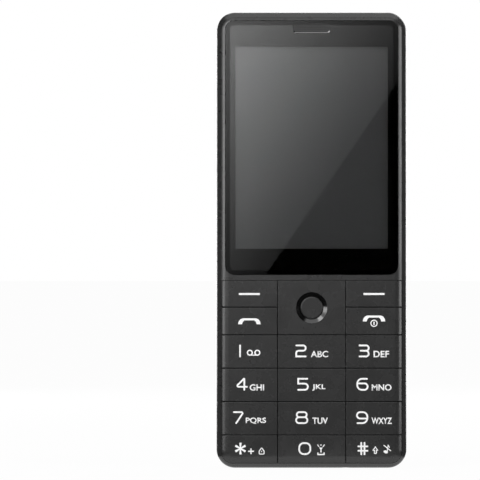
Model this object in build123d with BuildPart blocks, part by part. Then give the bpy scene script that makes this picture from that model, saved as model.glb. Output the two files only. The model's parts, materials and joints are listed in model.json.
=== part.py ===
from build123d import *
import math
import os

os.makedirs("parts", exist_ok=True)

# The phone stands on its bottom end. X runs across its width, Y from the keypad
# side to the back, and Z up its length. The origin is under the middle of the base.
# Depths are counted from the front face towards the back.

# Display and its window
display_width = 43.2
display_height = 57.6
window_side_border = 2.7
window_top_border = 6.9
window_bottom_border = 7.1
window_corner_radius = 2.6
window_thickness = 0.8
window_recess = 0.1
window_clearance = 0.15
display_opening_margin = 0.9

# Front face and its edges
side_rim = 2.5
top_rim = 2.4
bottom_rim = 1.5
window_to_keypad = 1.7
edge_width = 1.4
slope_start = 0.75
slope_depth = 1.9
slope_softening = 2.5
face_edge_radius = 3.4
body_corner_radius = 5.2
housing_wall = 1.25

# Keypad
nav_column_width = 19.2
soft_row_height = 7.5
call_row_height = 7.8
digit_row_height = 9.4
bottom_row_height = 7.9
key_gap = 0.25
keypad_clearance = 0.15
keypad_corner_radius = 3.1
key_cap_thickness = 1.4
key_edge_radius = 0.12
key_stem_radius = 1.1
key_travel = 0.35
stem_to_dome = 0.08
stem_hole_clearance = 0.2

# Navigation pad, its rocker ring and its centre button
nav_ring_outer_radius = 4.425
nav_button_radius = 3.1
nav_button_clearance = 0.1
nav_groove_depth = 0.55
nav_button_recess = 0.06
nav_button_bevel = 0.25
nav_flange_width = 0.3
nav_flange_thickness = 0.2
nav_plunger_radius = 0.8
nav_plunger_side = 6.9
nav_plunger_up = 5.9
nav_plunger_lift = 0.3
rocker_gap = 0.2
rocker_thickness = 0.4
rocker_inner_radius = 3.6
rocker_outer_radius = 4.9
rocker_bump_width = 0.8
rocker_bump_clearance = 0.03

# Keypad mat, ledge and domes
mat_thickness = 0.4
mat_ledge_thickness = 0.25
mat_ledge_width = 0.7
mat_edge_clearance = 0.2
mat_skirt_width = 1.15
dome_radius = 2.0
dome_height = 0.25
dome_crown_radius = 1.2

# Layers from the window to the board
gasket_thickness = 0.2
gasket_width = 1.3
ledge_thickness = 0.9
stack_gap = 0.05
panel_thickness = 1.0
panel_border = 1.2
panel_bottom_border = 3.2
backlight_thickness = 1.1
backlight_border = 0.5
backlight_tail = 2.2
lcd_frame_wall = 0.25
board_space = 0.2
board_thickness = 0.8
board_edge_clearance = 0.25

# Earpiece
earpiece_width = 10.4
earpiece_height = 2.9
earpiece_corner_radius = 0.8
earpiece_below_top = 4.55
earpiece_clearance = 0.1
mesh_depth = 0.35
mesh_thickness = 0.25
mesh_hole_radius = 0.2
mesh_pitch = 0.62
receiver_width = 13.0
receiver_height = 4.4
receiver_corner_radius = 1.0
receiver_plate_thickness = 0.3
sound_slot_width = 8.0
sound_slot_height = 1.6

# Display flex
flex_width = 14.0
flex_thickness = 0.1
flex_reach = 9.0
flex_loop = 0.9

# Battery bay, battery and the sockets under it
battery_width = 34.0
battery_height = 50.0
battery_thickness = 4.2
battery_edge_radius = 1.0
battery_clearance = 0.2
bay_side_clearance = 0.3
bay_wall = 1.0
bay_above_bottom = 20.5
bay_floor_thickness = 0.5
card_socket_height = 1.3
card_window_clearance = 0.3
sim_width = 14.6
sim_length = 15.0
sim_gap = 2.2
sim_above_bay = 12.0
memory_width = 14.0
memory_length = 13.6
memory_above_bay = 32.0
card_lip = 0.25
card_slot_height = 0.8
contact_width = 8.0
contact_length = 3.2
contact_height = 3.6
contact_gap = 0.15
contact_blade_width = 1.2
contact_blade_pitch = 2.4
contact_blade_depth = 0.5

# Rear chassis
chassis_clearance = 0.15
chassis_wall = 1.1
chassis_rear_wall = 1.0
chassis_to_cover = 0.15

# Screws and their posts
screw_from_side = 4.2
screw_above_bottom = 4.0
screw_above_keypad = 1.3
screw_below_top = 4.0
screw_radius = 0.7
screw_clearance = 0.15
screw_bite = 0.02
screw_head_radius = 1.3
screw_head_height = 0.6
screw_recess_radius = 1.55
screw_seat_depth = 1.25
screw_drive_radius = 0.45
screw_drive_depth = 0.35
screw_tip_depth = 0.4
housing_boss_radius = 1.5
chassis_post_radius = 2.0
boss_floor = 0.3

# Rear cover
parting_depth = 7.6
parting_gap = 0.1
cover_wall = 1.0
cover_side_wall = 1.2
cover_edge_radius = 3.8

# Camera and torch pill
pill_below_top = 26.9
pill_width = 9.9
pill_height = 23.0
pill_clearance = 0.2
pill_bevel = 0.65
pill_rim = 0.7
pill_recess = 0.05
pill_ledge = 0.4
pill_window_recess = 0.1
pill_window_thickness = 0.6
pill_window_clearance = 0.05
pill_lens_offset = 6.7
camera_lens_radius = 2.25
camera_lens_thickness = 0.5
camera_base = 7.0
camera_base_height = 3.6
camera_barrel_radius = 3.0
camera_barrel_gap = 0.2
camera_hole_clearance = 0.2
torch_lens_radius = 1.95
torch_flange_radius = 2.8
torch_flange_thickness = 0.5
torch_led_size = 3.0
torch_led_height = 1.7

# Loudspeaker
speaker_slot_length = 8.2
speaker_slot_width = 1.3
speaker_slot_pitch = 3.1
speaker_slot_offset = 2.35
speaker_side_clearance = 2.4
speaker_to_camera = 3.4
speaker_height = 11.0
speaker_thickness = 3.0
speaker_corner_radius = 2.0
speaker_cone_rim = 1.2
speaker_cone_depth = 0.4
speaker_mesh_width = 7.0
speaker_mesh_height = 10.4
speaker_mesh_thickness = 0.15
speaker_recess_depth = 0.35
speaker_recess_clearance = 0.2

# Other parts on the board
shield_height = 1.6
shield_corner_radius = 0.6
large_shield_side_clearance = 2.2
large_shield_to_camera = 1.6
large_shield_length = 19.0
large_shield_below_top = 24.0
small_shield_side_clearance = 3.2
small_shield_width = 15.0
small_shield_length = 12.0
shield_dimple_radius = 0.4
shield_dimple_depth = 0.15
shield_dimple_pitch = 3.0
motor_radius = 4.0
motor_thickness = 2.7
motor_side_clearance = 6.3
motor_below_top = 41.0
motor_edge_radius = 0.3
microphone_radius = 2.0
microphone_height = 1.5
microphone_from_base = 4.8
microphone_hole_radius = 0.5
antenna_side_clearance = 9.3
antenna_height = 8.0
antenna_thickness = 0.15
antenna_below_top = 9.5
antenna_slot_width = 1.2
antenna_arm = 2.2

# Charging socket and headphone socket, both in the bottom end
usb_width = 7.5
usb_thickness = 2.6
usb_length = 5.0
usb_shell = 0.25
usb_corner_radius = 0.6
usb_tongue_width = 3.7
usb_tongue_thickness = 0.6
usb_tongue_length = 3.6
usb_depth = 5.4
port_opening_clearance = 0.35
port_notch_clearance = 0.2
jack_bore_radius = 1.75
jack_width = 6.2
jack_thickness = 4.4
jack_bore_length = 12.6
jack_end_wall = 0.8
jack_depth = 4.9
jack_opening_radius = 2.15
jack_corner_radius = 0.5

# One overrun for every cut
overrun = 1.0

# Widths and heights that follow
window_width = display_width + 2 * window_side_border
window_height = display_height + window_top_border + window_bottom_border
body_width = window_width + 2 * side_rim
keypad_width = body_width - 2 * edge_width
row_heights = [soft_row_height, call_row_height] + 3 * [digit_row_height] + [bottom_row_height]
keypad_height = sum(row_heights)
keypad_top = bottom_rim + keypad_height
window_bottom = keypad_top + window_to_keypad
body_height = window_bottom + window_height + top_rim
window_centre = window_bottom + window_height / 2
display_centre = window_bottom + window_bottom_border + display_height / 2
keypad_centre = bottom_rim + keypad_height / 2
side_column_width = (keypad_width - nav_column_width) / 2
earpiece_centre = body_height - earpiece_below_top
pill_centre = body_height - pill_below_top
camera_centre = pill_centre + pill_lens_offset
torch_centre = pill_centre - pill_lens_offset
bay_width = battery_width + 2 * bay_side_clearance
bay_height = battery_height + 2 * bay_side_clearance
bay_centre = (0, bay_above_bottom + bay_height / 2)
bay_top = bay_above_bottom + bay_height
port_from_middle = nav_column_width / 2
socket_mouth = housing_wall + stack_gap
usb_top = socket_mouth + usb_length
jack_top = socket_mouth + jack_bore_length + jack_end_wall

# Room between the chassis walls, and the pieces that fill it from wall to camera
chassis_inset = housing_wall + chassis_clearance
hollow_side = body_width / 2 - chassis_inset - chassis_wall
large_shield_inner = camera_base / 2 + large_shield_to_camera
large_shield_width = hollow_side - large_shield_side_clearance - large_shield_inner
speaker_inner = camera_base / 2 + speaker_to_camera
speaker_width = hollow_side - speaker_side_clearance - speaker_inner
speaker_from_middle = speaker_inner + speaker_width / 2
slots_from_middle = speaker_from_middle - speaker_slot_offset
antenna_width = 2 * (hollow_side - antenna_side_clearance)

# Depths that follow
window_back = window_recess + window_thickness
gasket_back = window_back + gasket_thickness
ledge_back = gasket_back + ledge_thickness
panel_front = ledge_back + stack_gap
panel_back = panel_front + panel_thickness
backlight_front = panel_back + stack_gap
backlight_back = backlight_front + backlight_thickness
board_front = backlight_back + board_space
board_back = board_front + board_thickness
bay_floor_back = board_back + card_socket_height + stack_gap
battery_front = bay_floor_back + stack_gap
battery_back = battery_front + battery_thickness
cover_inner = battery_back + battery_clearance
body_depth = cover_inner + cover_wall
chassis_front = board_back + stack_gap
chassis_back = cover_inner - chassis_to_cover
chassis_rear_wall_front = chassis_back - chassis_rear_wall
cover_front = parting_depth + parting_gap
mat_front = key_cap_thickness + 2 * rocker_gap + rocker_thickness
mat_back = mat_front + mat_thickness
skirt_back = board_front - stack_gap
dome_top = board_front - dome_height
stem_end = dome_top - key_travel - stem_to_dome
nav_plunger_end = dome_top - nav_plunger_lift
boss_back = board_front - stack_gap
bezel_back = body_depth - pill_recess
pill_window_back = bezel_back - pill_window_recess
pill_window_front = pill_window_back - pill_window_thickness
bezel_ledge_back = pill_window_front - stack_gap
face_form_depth = face_edge_radius + ledge_back
inner_edge_radius = cover_edge_radius - (cover_wall + cover_side_wall) / 2


def depth_plane(depth):
    """Plane across the phone at a depth from its front face, facing the front."""
    return Plane.XZ.offset(body_depth / 2 - depth)


def depth_y(depth):
    """Y of a depth from the front face."""
    return depth - body_depth / 2


def save(piece, label):
    piece.part.label = label
    export_step(piece.part, f"parts/{label}.step")


def body_outline(inset):
    """Outline of the body, drawn in by an inset, for the sketch in work."""
    return RectangleRounded(body_width - 2 * inset, body_height - 2 * inset, body_corner_radius - inset)


def board_block(width, height, centre, front, back, radius):
    """A block with rounded corners that lies across the phone between two depths."""
    with BuildPart() as block:
        with BuildSketch(depth_plane(back)):
            with Locations(centre):
                RectangleRounded(width, height, radius)
        extrude(amount=back - front)
    return block


# Places that several pieces share
body_middle = (0, body_height / 2)
column_centre = (nav_column_width + side_column_width) / 2
row_tops = [keypad_top - sum(row_heights[:row]) for row in range(len(row_heights))]
row_bottoms = row_tops[1:] + [bottom_rim]
nav_bottom = row_bottoms[1]
nav_centre = (keypad_top + nav_bottom) / 2
screw_x = body_width / 2 - screw_from_side
screw_heights = [screw_above_bottom, keypad_top + screw_above_keypad, body_height - screw_below_top]
screw_points = [(side * screw_x, height) for side in (-1, 1) for height in screw_heights]
bottom_screws = [(side * screw_x, screw_above_bottom) for side in (-1, 1)]
nav_plungers = [
    (-nav_plunger_side, nav_centre),
    (nav_plunger_side, nav_centre),
    (0, nav_centre - nav_plunger_up),
    (0, nav_centre + nav_plunger_up),
]

# Rows of keys from the top, each from left to right; the pad fills the empty places
keypad_rows = [
    ("key_soft_left", None, "key_soft_right"),
    ("key_call", None, "key_end"),
    ("key_1", "key_2", "key_3"),
    ("key_4", "key_5", "key_6"),
    ("key_7", "key_8", "key_9"),
    ("key_star", "key_0", "key_hash"),
]
key_cells = {}
for row, names in enumerate(keypad_rows):
    for column, name in zip((-1, 0, 1), names):
        if name:
            key_cells[name] = (column, row)


def cell_box(column, row):
    """Centre and size of a key's cell, its outer sides on the keypad's outline."""
    width = nav_column_width if column == 0 else side_column_width
    top = row_tops[row]
    bottom = row_bottoms[row]
    return (column * column_centre, (top + bottom) / 2), width, top - bottom


key_centres = {name: cell_box(*cell)[0] for name, cell in key_cells.items()}

# Crowned front face, which the keys and the housing share
with BuildPart() as face_form:
    with BuildSketch(depth_plane(face_form_depth)):
        with Locations(body_middle):
            body_outline(0)
    extrude(amount=face_form_depth)
    fillet(face_form.faces().sort_by(Axis.Y)[0].edges(), face_edge_radius)

# Face around the window: the crowned face inside the sloped edge
with BuildPart() as face_panel:
    with BuildSketch(depth_plane(ledge_back)):
        with Locations(body_middle):
            body_outline(edge_width)
    extrude(amount=ledge_back)
    add(face_form.part, mode=Mode.INTERSECT)

# Outline of the opening that the keys fill, and of the keypad itself
with BuildSketch(Plane.XY) as keypad_outline:
    with Locations((0, keypad_centre)):
        Rectangle(keypad_width, keypad_height)
    fillet(keypad_outline.vertices().group_by(Axis.Y)[0], keypad_corner_radius)

with BuildSketch(Plane.XY) as keypad_opening:
    add(keypad_outline.sketch)
    offset(amount=keypad_clearance, kind=Kind.INTERSECTION)

with BuildSketch(Plane.XY) as mat_ledge_outline:
    add(keypad_opening.sketch)
    with Locations((0, keypad_top)):
        Rectangle(keypad_width + 2 * keypad_clearance, 2 * mat_ledge_width)
    with Locations((0, keypad_centre)):
        RectangleRounded(
            keypad_width - 2 * mat_ledge_width,
            keypad_height - 2 * mat_ledge_width,
            keypad_corner_radius - mat_ledge_width,
            mode=Mode.SUBTRACT,
        )

# Corner plates that carry the two lower screw bosses
with BuildSketch(Plane.XY) as corner_plates:
    with Locations(*bottom_screws):
        Rectangle(2 * (screw_from_side - housing_wall), 2 * screw_above_bottom)
    add(keypad_opening.sketch, mode=Mode.INTERSECT)

# Front housing: sloped edge, face, walls, ledges and screw bosses in one moulding
with BuildPart() as front_housing:
    with BuildSketch(depth_plane(parting_depth)):
        with Locations(body_middle):
            body_outline(0)
    extrude(amount=parting_depth - slope_start)
    band_face = front_housing.faces().sort_by(Axis.Y)[0]
    chamfer(band_face.edges(), length=edge_width, length2=slope_depth, reference=band_face)
    slope_foot_y = depth_y(slope_start + slope_depth)
    slope_foot = front_housing.edges().filter_by_position(
        Axis.Y, slope_foot_y - stack_gap, slope_foot_y + stack_gap
    )
    fillet(slope_foot, slope_softening)
    add(face_panel.part)
    # Hollow behind the ledge
    with BuildSketch(depth_plane(parting_depth + overrun)):
        with Locations(body_middle):
            body_outline(housing_wall)
    extrude(amount=parting_depth + overrun - ledge_back, mode=Mode.SUBTRACT)
    # Keypad opening
    with BuildSketch(depth_plane(ledge_back + overrun)):
        add(keypad_opening.sketch)
    extrude(amount=ledge_back + 2 * overrun, mode=Mode.SUBTRACT)
    # Ledge that holds the keypad mat, and the plates in its lower corners
    with BuildSketch(depth_plane(mat_front)):
        add(mat_ledge_outline.sketch)
    extrude(amount=mat_ledge_thickness)
    with BuildSketch(depth_plane(mat_front)):
        add(corner_plates.sketch)
    extrude(amount=mat_ledge_thickness)
    # Window seat, display opening and earpiece opening
    with BuildSketch(depth_plane(gasket_back)):
        with Locations((0, window_centre)):
            RectangleRounded(
                window_width + 2 * window_clearance,
                window_height + 2 * window_clearance,
                window_corner_radius + window_clearance,
            )
    extrude(amount=gasket_back + overrun, mode=Mode.SUBTRACT)
    with BuildSketch(depth_plane(ledge_back + overrun)):
        with Locations((0, display_centre)):
            Rectangle(
                display_width + 2 * display_opening_margin,
                display_height + 2 * display_opening_margin,
            )
        with Locations((0, earpiece_centre)):
            SlotOverall(sound_slot_width, sound_slot_height)
    extrude(amount=ledge_thickness + 2 * overrun, mode=Mode.SUBTRACT)
    # Screw bosses
    with BuildSketch(depth_plane(boss_back)):
        with Locations(*screw_points):
            Circle(housing_boss_radius)
    extrude(amount=boss_back - (mat_front - mat_ledge_thickness))
    with BuildSketch(depth_plane(boss_back + overrun)):
        with Locations(*screw_points):
            Circle(screw_radius + screw_bite)
    extrude(amount=boss_back + overrun - (mat_front + boss_floor), mode=Mode.SUBTRACT)
    # Openings in the bottom wall for the two sockets and the microphone
    with BuildSketch(Plane.XY.offset(-overrun)):
        with Locations((-port_from_middle, depth_y(usb_depth))):
            RectangleRounded(
                usb_width + 2 * port_opening_clearance,
                usb_thickness + 2 * port_opening_clearance,
                usb_corner_radius + port_opening_clearance,
            )
        with Locations((port_from_middle, depth_y(jack_depth))):
            Circle(jack_opening_radius)
        with Locations((0, depth_y(board_back + microphone_height / 2))):
            Circle(microphone_hole_radius)
    extrude(amount=housing_wall + 2 * overrun, mode=Mode.SUBTRACT)
save(front_housing, "front_housing")

# Display window
with BuildPart() as display_window:
    with BuildSketch(depth_plane(window_back)):
        with Locations((0, window_centre)):
            RectangleRounded(window_width, window_height, window_corner_radius)
        with Locations((0, earpiece_centre)):
            RectangleRounded(earpiece_width, earpiece_height, earpiece_corner_radius, mode=Mode.SUBTRACT)
    extrude(amount=window_thickness)
save(display_window, "display_window")

# Adhesive gasket under the edge of the window
with BuildPart() as display_gasket:
    with BuildSketch(depth_plane(gasket_back)):
        with Locations((0, window_centre)):
            RectangleRounded(window_width, window_height, window_corner_radius)
            RectangleRounded(
                window_width - 2 * gasket_width,
                window_height - 2 * gasket_width,
                window_corner_radius - gasket_width,
                mode=Mode.SUBTRACT,
            )
    extrude(amount=gasket_thickness)
save(display_gasket, "display_gasket")

# Perforated plate in the earpiece slot
mesh_columns = int((earpiece_width - 2 * earpiece_clearance) / mesh_pitch) - 1
mesh_rows = int((earpiece_height - 2 * earpiece_clearance) / mesh_pitch)
with BuildPart() as earpiece_mesh:
    with BuildSketch(depth_plane(window_recess + mesh_depth + mesh_thickness)):
        with Locations((0, earpiece_centre)):
            RectangleRounded(
                earpiece_width - 2 * earpiece_clearance,
                earpiece_height - 2 * earpiece_clearance,
                earpiece_corner_radius - earpiece_clearance,
            )
            with GridLocations(mesh_pitch, mesh_pitch, mesh_columns, mesh_rows):
                Circle(mesh_hole_radius, mode=Mode.SUBTRACT)
    extrude(amount=mesh_thickness)
save(earpiece_mesh, "earpiece_mesh")

# Earpiece receiver behind the sound slot
with BuildPart() as earpiece_receiver:
    with BuildSketch(depth_plane(board_front - stack_gap)):
        with Locations((0, earpiece_centre)):
            RectangleRounded(receiver_width, receiver_height, receiver_corner_radius)
    extrude(amount=board_front - panel_front - stack_gap)
    with BuildSketch(depth_plane(panel_front)):
        with Locations((0, earpiece_centre)):
            SlotOverall(sound_slot_width, sound_slot_height)
    extrude(amount=-receiver_plate_thickness, mode=Mode.SUBTRACT)
save(earpiece_receiver, "earpiece_receiver")

# Liquid crystal panel
panel_bottom = display_centre - display_height / 2 - panel_bottom_border
panel_top = display_centre + display_height / 2 + panel_border
with BuildPart() as lcd_panel:
    with BuildSketch(depth_plane(panel_back)):
        with Locations((0, (panel_bottom + panel_top) / 2)):
            Rectangle(display_width + 2 * panel_border, panel_top - panel_bottom)
    extrude(amount=panel_thickness)
save(lcd_panel, "lcd_panel")

# Backlight, a little larger than the panel at every side
backlight_width = display_width + 2 * (panel_border + backlight_border)
backlight_bottom = panel_bottom - backlight_tail
backlight_top = panel_top + backlight_border
backlight_centre = (backlight_bottom + backlight_top) / 2
backlight_height = backlight_top - backlight_bottom
with BuildPart() as backlight_unit:
    with BuildSketch(depth_plane(backlight_back)):
        with Locations((0, backlight_centre)):
            Rectangle(backlight_width, backlight_height)
    extrude(amount=backlight_thickness)
save(backlight_unit, "backlight_unit")

# Steel frame around the panel and the backlight
frame_bore_width = backlight_width + 2 * stack_gap
frame_bore_height = backlight_height + 2 * stack_gap
with BuildPart() as lcd_frame:
    with BuildSketch(depth_plane(backlight_back)):
        with Locations((0, backlight_centre)):
            Rectangle(frame_bore_width + 2 * lcd_frame_wall, frame_bore_height + 2 * lcd_frame_wall)
            Rectangle(frame_bore_width, frame_bore_height, mode=Mode.SUBTRACT)
    extrude(amount=backlight_back - panel_front)
    # Gap in the lower side for the flex
    with BuildSketch(depth_plane(backlight_back + overrun)):
        with Locations((0, backlight_bottom)):
            Rectangle(flex_width + 2 * lcd_frame_wall, 2 * overrun)
    extrude(amount=backlight_thickness + overrun, mode=Mode.SUBTRACT)
save(lcd_frame, "lcd_frame")

# Display flex: from the backlight's lower edge round to the board
flex_front = (backlight_front + backlight_back) / 2
flex_back = board_front - stack_gap
with BuildPart() as display_flex:
    with BuildSketch(Plane.YZ.offset(-flex_width / 2)):
        with BuildLine():
            flex_start = (depth_y(flex_front), backlight_bottom - stack_gap)
            flex_turn = (depth_y(flex_front), backlight_bottom - flex_loop)
            flex_low = (depth_y(flex_back - flex_thickness), backlight_bottom - flex_loop)
            flex_end = (depth_y(flex_back - flex_thickness), backlight_bottom + flex_reach)
            Polyline(flex_start, flex_turn, flex_low, flex_end)
            Line(flex_end, (depth_y(flex_back), flex_end[1]))
            Line((depth_y(flex_back), flex_end[1]), (depth_y(flex_back), flex_low[1] - flex_thickness))
            Line(
                (depth_y(flex_back), flex_low[1] - flex_thickness),
                (flex_start[0] - flex_thickness, flex_low[1] - flex_thickness),
            )
            Line(
                (flex_start[0] - flex_thickness, flex_low[1] - flex_thickness),
                (flex_start[0] - flex_thickness, flex_start[1]),
            )
            Line((flex_start[0] - flex_thickness, flex_start[1]), flex_start)
        make_face()
    extrude(amount=flex_width)
save(display_flex, "display_flex")


def make_key(name):
    """A key cap cut from the shared crowned face, with its stem over the dome."""
    centre, width, height = cell_box(*key_cells[name])
    with BuildPart() as key:
        with BuildSketch(depth_plane(key_cap_thickness)):
            with Locations(centre):
                Rectangle(width, height)
            add(keypad_outline.sketch, mode=Mode.INTERSECT)
            for line in inner_lines(name):
                with Locations(line[0]):
                    Rectangle(line[1], line[2], mode=Mode.SUBTRACT)
        extrude(amount=key_cap_thickness)
        add(face_form.part, mode=Mode.INTERSECT)
        fillet(front_edges(key), key_edge_radius)
        with BuildSketch(depth_plane(stem_end)):
            with Locations(centre):
                Circle(key_stem_radius)
        extrude(amount=stem_end - key_cap_thickness)
    return key


def inner_lines(name):
    """Hairline gaps between keys: one along each inner side of a key's cell."""
    centre, width, height = cell_box(*key_cells[name])
    column, row = key_cells[name]
    lines = []
    for side in (-1, 1):
        if column != side:
            lines.append(((centre[0] + side * width / 2, centre[1]), key_gap, height))
    if row > 0:
        lines.append(((centre[0], centre[1] + height / 2), width, key_gap))
    if row < len(row_tops) - 1:
        lines.append(((centre[0], centre[1] - height / 2), width, key_gap))
    return lines


def front_edges(piece):
    """Edges between the faces that look forward and the side walls of a key."""
    forward = piece.faces().filter_by(lambda face: face.normal_at().Y < -0.5)
    walls = piece.faces().filter_by(lambda face: abs(face.normal_at().Y) < 0.1)
    wall_edges = [edge for wall in walls for edge in wall.edges()]
    found = []
    for face in forward:
        for edge in face.edges():
            if any(edge.is_same(other) for other in wall_edges):
                found.append(edge)
    return found


for key_name in key_cells:
    save(make_key(key_name), key_name)

# Navigation pad: a tile with a dished ring round its centre hole
nav_height = keypad_top - nav_bottom
nav_hole_radius = nav_button_radius + nav_button_clearance
with BuildPart() as nav_pad:
    with BuildSketch(depth_plane(key_cap_thickness)):
        with Locations((0, nav_centre + key_gap / 4)):
            Rectangle(nav_column_width - key_gap, nav_height - key_gap / 2)
    extrude(amount=key_cap_thickness)
    add(face_form.part, mode=Mode.INTERSECT)
    fillet(front_edges(nav_pad), key_edge_radius)
    with BuildSketch(depth_plane(key_cap_thickness + overrun)):
        with Locations((0, nav_centre)):
            Circle(nav_hole_radius)
    extrude(amount=key_cap_thickness + 2 * overrun, mode=Mode.SUBTRACT)
    with BuildSketch(Plane.YZ):
        with BuildLine():
            dish_rim = (depth_y(0), nav_centre + nav_ring_outer_radius)
            dish_foot = (depth_y(nav_groove_depth), nav_centre + nav_hole_radius)
            dish_inner = (depth_y(0), nav_centre + nav_hole_radius - overrun)
            RadiusArc(dish_rim, dish_foot, nav_ring_outer_radius - nav_hole_radius)
            Polyline(dish_foot, (dish_foot[0], dish_inner[1]), (dish_inner[0] - overrun, dish_inner[1]))
            dish_corner = (dish_rim[0] - overrun, dish_rim[1])
            Polyline((dish_inner[0] - overrun, dish_inner[1]), dish_corner, dish_rim)
        make_face()
    revolve(axis=Axis((0, 0, nav_centre), (0, 1, 0)), mode=Mode.SUBTRACT)
    with BuildSketch(depth_plane(nav_plunger_end)):
        with Locations(*nav_plungers):
            Circle(nav_plunger_radius)
    extrude(amount=nav_plunger_end - key_cap_thickness)
save(nav_pad, "nav_pad")

# Rocker ring: a washer with two bumps on each side, square to each other
rocker_front = key_cap_thickness + rocker_gap
rocker_back = rocker_front + rocker_thickness
bump_centre = (rocker_inner_radius + rocker_outer_radius) / 2
bump_length = rocker_outer_radius - rocker_inner_radius
bump_height = rocker_gap - rocker_bump_clearance
with BuildPart() as nav_rocker_ring:
    with BuildSketch(depth_plane(rocker_back)):
        with Locations((0, nav_centre)):
            Circle(rocker_outer_radius)
            Circle(rocker_inner_radius, mode=Mode.SUBTRACT)
    extrude(amount=rocker_thickness)
    with BuildSketch(depth_plane(rocker_front)):
        with Locations((0, nav_centre - bump_centre), (0, nav_centre + bump_centre)):
            Rectangle(rocker_bump_width, bump_length - rocker_gap)
    extrude(amount=bump_height)
    with BuildSketch(depth_plane(rocker_back + bump_height)):
        with Locations((-bump_centre, nav_centre), (bump_centre, nav_centre)):
            Rectangle(bump_length - rocker_gap, rocker_bump_width)
    extrude(amount=bump_height)
save(nav_rocker_ring, "nav_rocker_ring")

# Centre button with the flange that keeps it under the pad
flange_front = key_cap_thickness + stack_gap
with BuildPart() as nav_center_button:
    with BuildSketch(depth_plane(flange_front)):
        with Locations((0, nav_centre)):
            Circle(nav_button_radius)
    extrude(amount=flange_front - nav_button_recess)
    fillet(nav_center_button.faces().sort_by(Axis.Y)[0].edges(), nav_button_bevel)
    with BuildSketch(depth_plane(flange_front + nav_flange_thickness)):
        with Locations((0, nav_centre)):
            Circle(nav_button_radius + nav_flange_width)
    extrude(amount=nav_flange_thickness)
    with BuildSketch(depth_plane(stem_end)):
        with Locations((0, nav_centre)):
            Circle(key_stem_radius)
    extrude(amount=stem_end - flange_front)
save(nav_center_button, "nav_center_button")

# Keypad mat: a silicone sheet with holes for the stems and a skirt on the board
stem_points = list(key_centres.values()) + [(0, nav_centre)]
mat_width = keypad_width + 2 * keypad_clearance - 2 * mat_edge_clearance
mat_height = keypad_height + 2 * keypad_clearance - 2 * mat_edge_clearance
mat_corner_radius = body_corner_radius - housing_wall - mat_edge_clearance
boss_notch_radius = housing_boss_radius + stem_hole_clearance
with BuildPart() as keypad_mat:
    with BuildSketch(depth_plane(skirt_back)):
        with Locations((0, keypad_centre)):
            RectangleRounded(mat_width, mat_height, mat_corner_radius)
    extrude(amount=skirt_back - mat_front)
    with BuildSketch(depth_plane(skirt_back)):
        with Locations((0, keypad_centre)):
            RectangleRounded(
                mat_width - 2 * mat_skirt_width,
                mat_height - 2 * mat_skirt_width,
                mat_corner_radius - mat_skirt_width,
            )
    extrude(amount=skirt_back - mat_back, mode=Mode.SUBTRACT)
    with BuildSketch(depth_plane(skirt_back + overrun)):
        with Locations(*stem_points):
            Circle(key_stem_radius + stem_hole_clearance)
        with Locations(*nav_plungers):
            Circle(nav_plunger_radius + stem_hole_clearance)
        with Locations(*screw_points[:2], *screw_points[3:5]):
            Circle(boss_notch_radius)
    extrude(amount=skirt_back - mat_front + 2 * overrun, mode=Mode.SUBTRACT)
    # Gaps in the skirt over the two sockets and the domes of the pad
    with BuildSketch(depth_plane(skirt_back + overrun)):
        with Locations((port_from_middle, bottom_rim)):
            Rectangle(jack_width + 2 * port_notch_clearance, 2 * mat_skirt_width + overrun)
        with Locations((-port_from_middle, bottom_rim)):
            Rectangle(usb_width + 2 * port_notch_clearance, 2 * mat_skirt_width + overrun)
        with Locations(*nav_plungers):
            Circle(dome_radius + stem_hole_clearance)
    extrude(amount=skirt_back + overrun - mat_back, mode=Mode.SUBTRACT)
save(keypad_mat, "keypad_mat")

# Snap domes: one under each stem and each plunger
dome_points = stem_points + nav_plungers
with BuildPart() as key_domes:
    with BuildSketch(depth_plane(board_front)):
        with Locations(*dome_points):
            Circle(dome_radius)
    extrude(amount=dome_height, taper=math.degrees(math.atan2(dome_radius - dome_crown_radius, dome_height)))
save(key_domes, "key_domes")

# Main board
board_inset = housing_wall + board_edge_clearance
with BuildPart() as main_board:
    with BuildSketch(depth_plane(board_back)):
        with Locations(body_middle):
            body_outline(board_inset)
        with Locations(*screw_points):
            Circle(screw_radius + screw_clearance, mode=Mode.SUBTRACT)
        with Locations((port_from_middle, 0)):
            Rectangle(
                jack_width + 2 * port_notch_clearance,
                2 * (jack_top + port_notch_clearance),
                mode=Mode.SUBTRACT,
            )
        with Locations((-port_from_middle, 0)):
            Rectangle(
                usb_width + 2 * port_notch_clearance,
                2 * (usb_top + port_notch_clearance),
                mode=Mode.SUBTRACT,
            )
    extrude(amount=board_thickness)
save(main_board, "main_board")

# Headphone socket: a block with a bore, behind the round opening in the bottom end
with BuildPart() as headphone_socket:
    with BuildSketch(Plane.XY.offset(socket_mouth)):
        with Locations((port_from_middle, depth_y(jack_depth))):
            RectangleRounded(jack_width, jack_thickness, jack_corner_radius)
    extrude(amount=jack_top - socket_mouth)
    with BuildSketch(Plane.XY.offset(socket_mouth)):
        with Locations((port_from_middle, depth_y(jack_depth))):
            Circle(jack_bore_radius)
    extrude(amount=jack_bore_length, mode=Mode.SUBTRACT)
save(headphone_socket, "headphone_socket")

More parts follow.
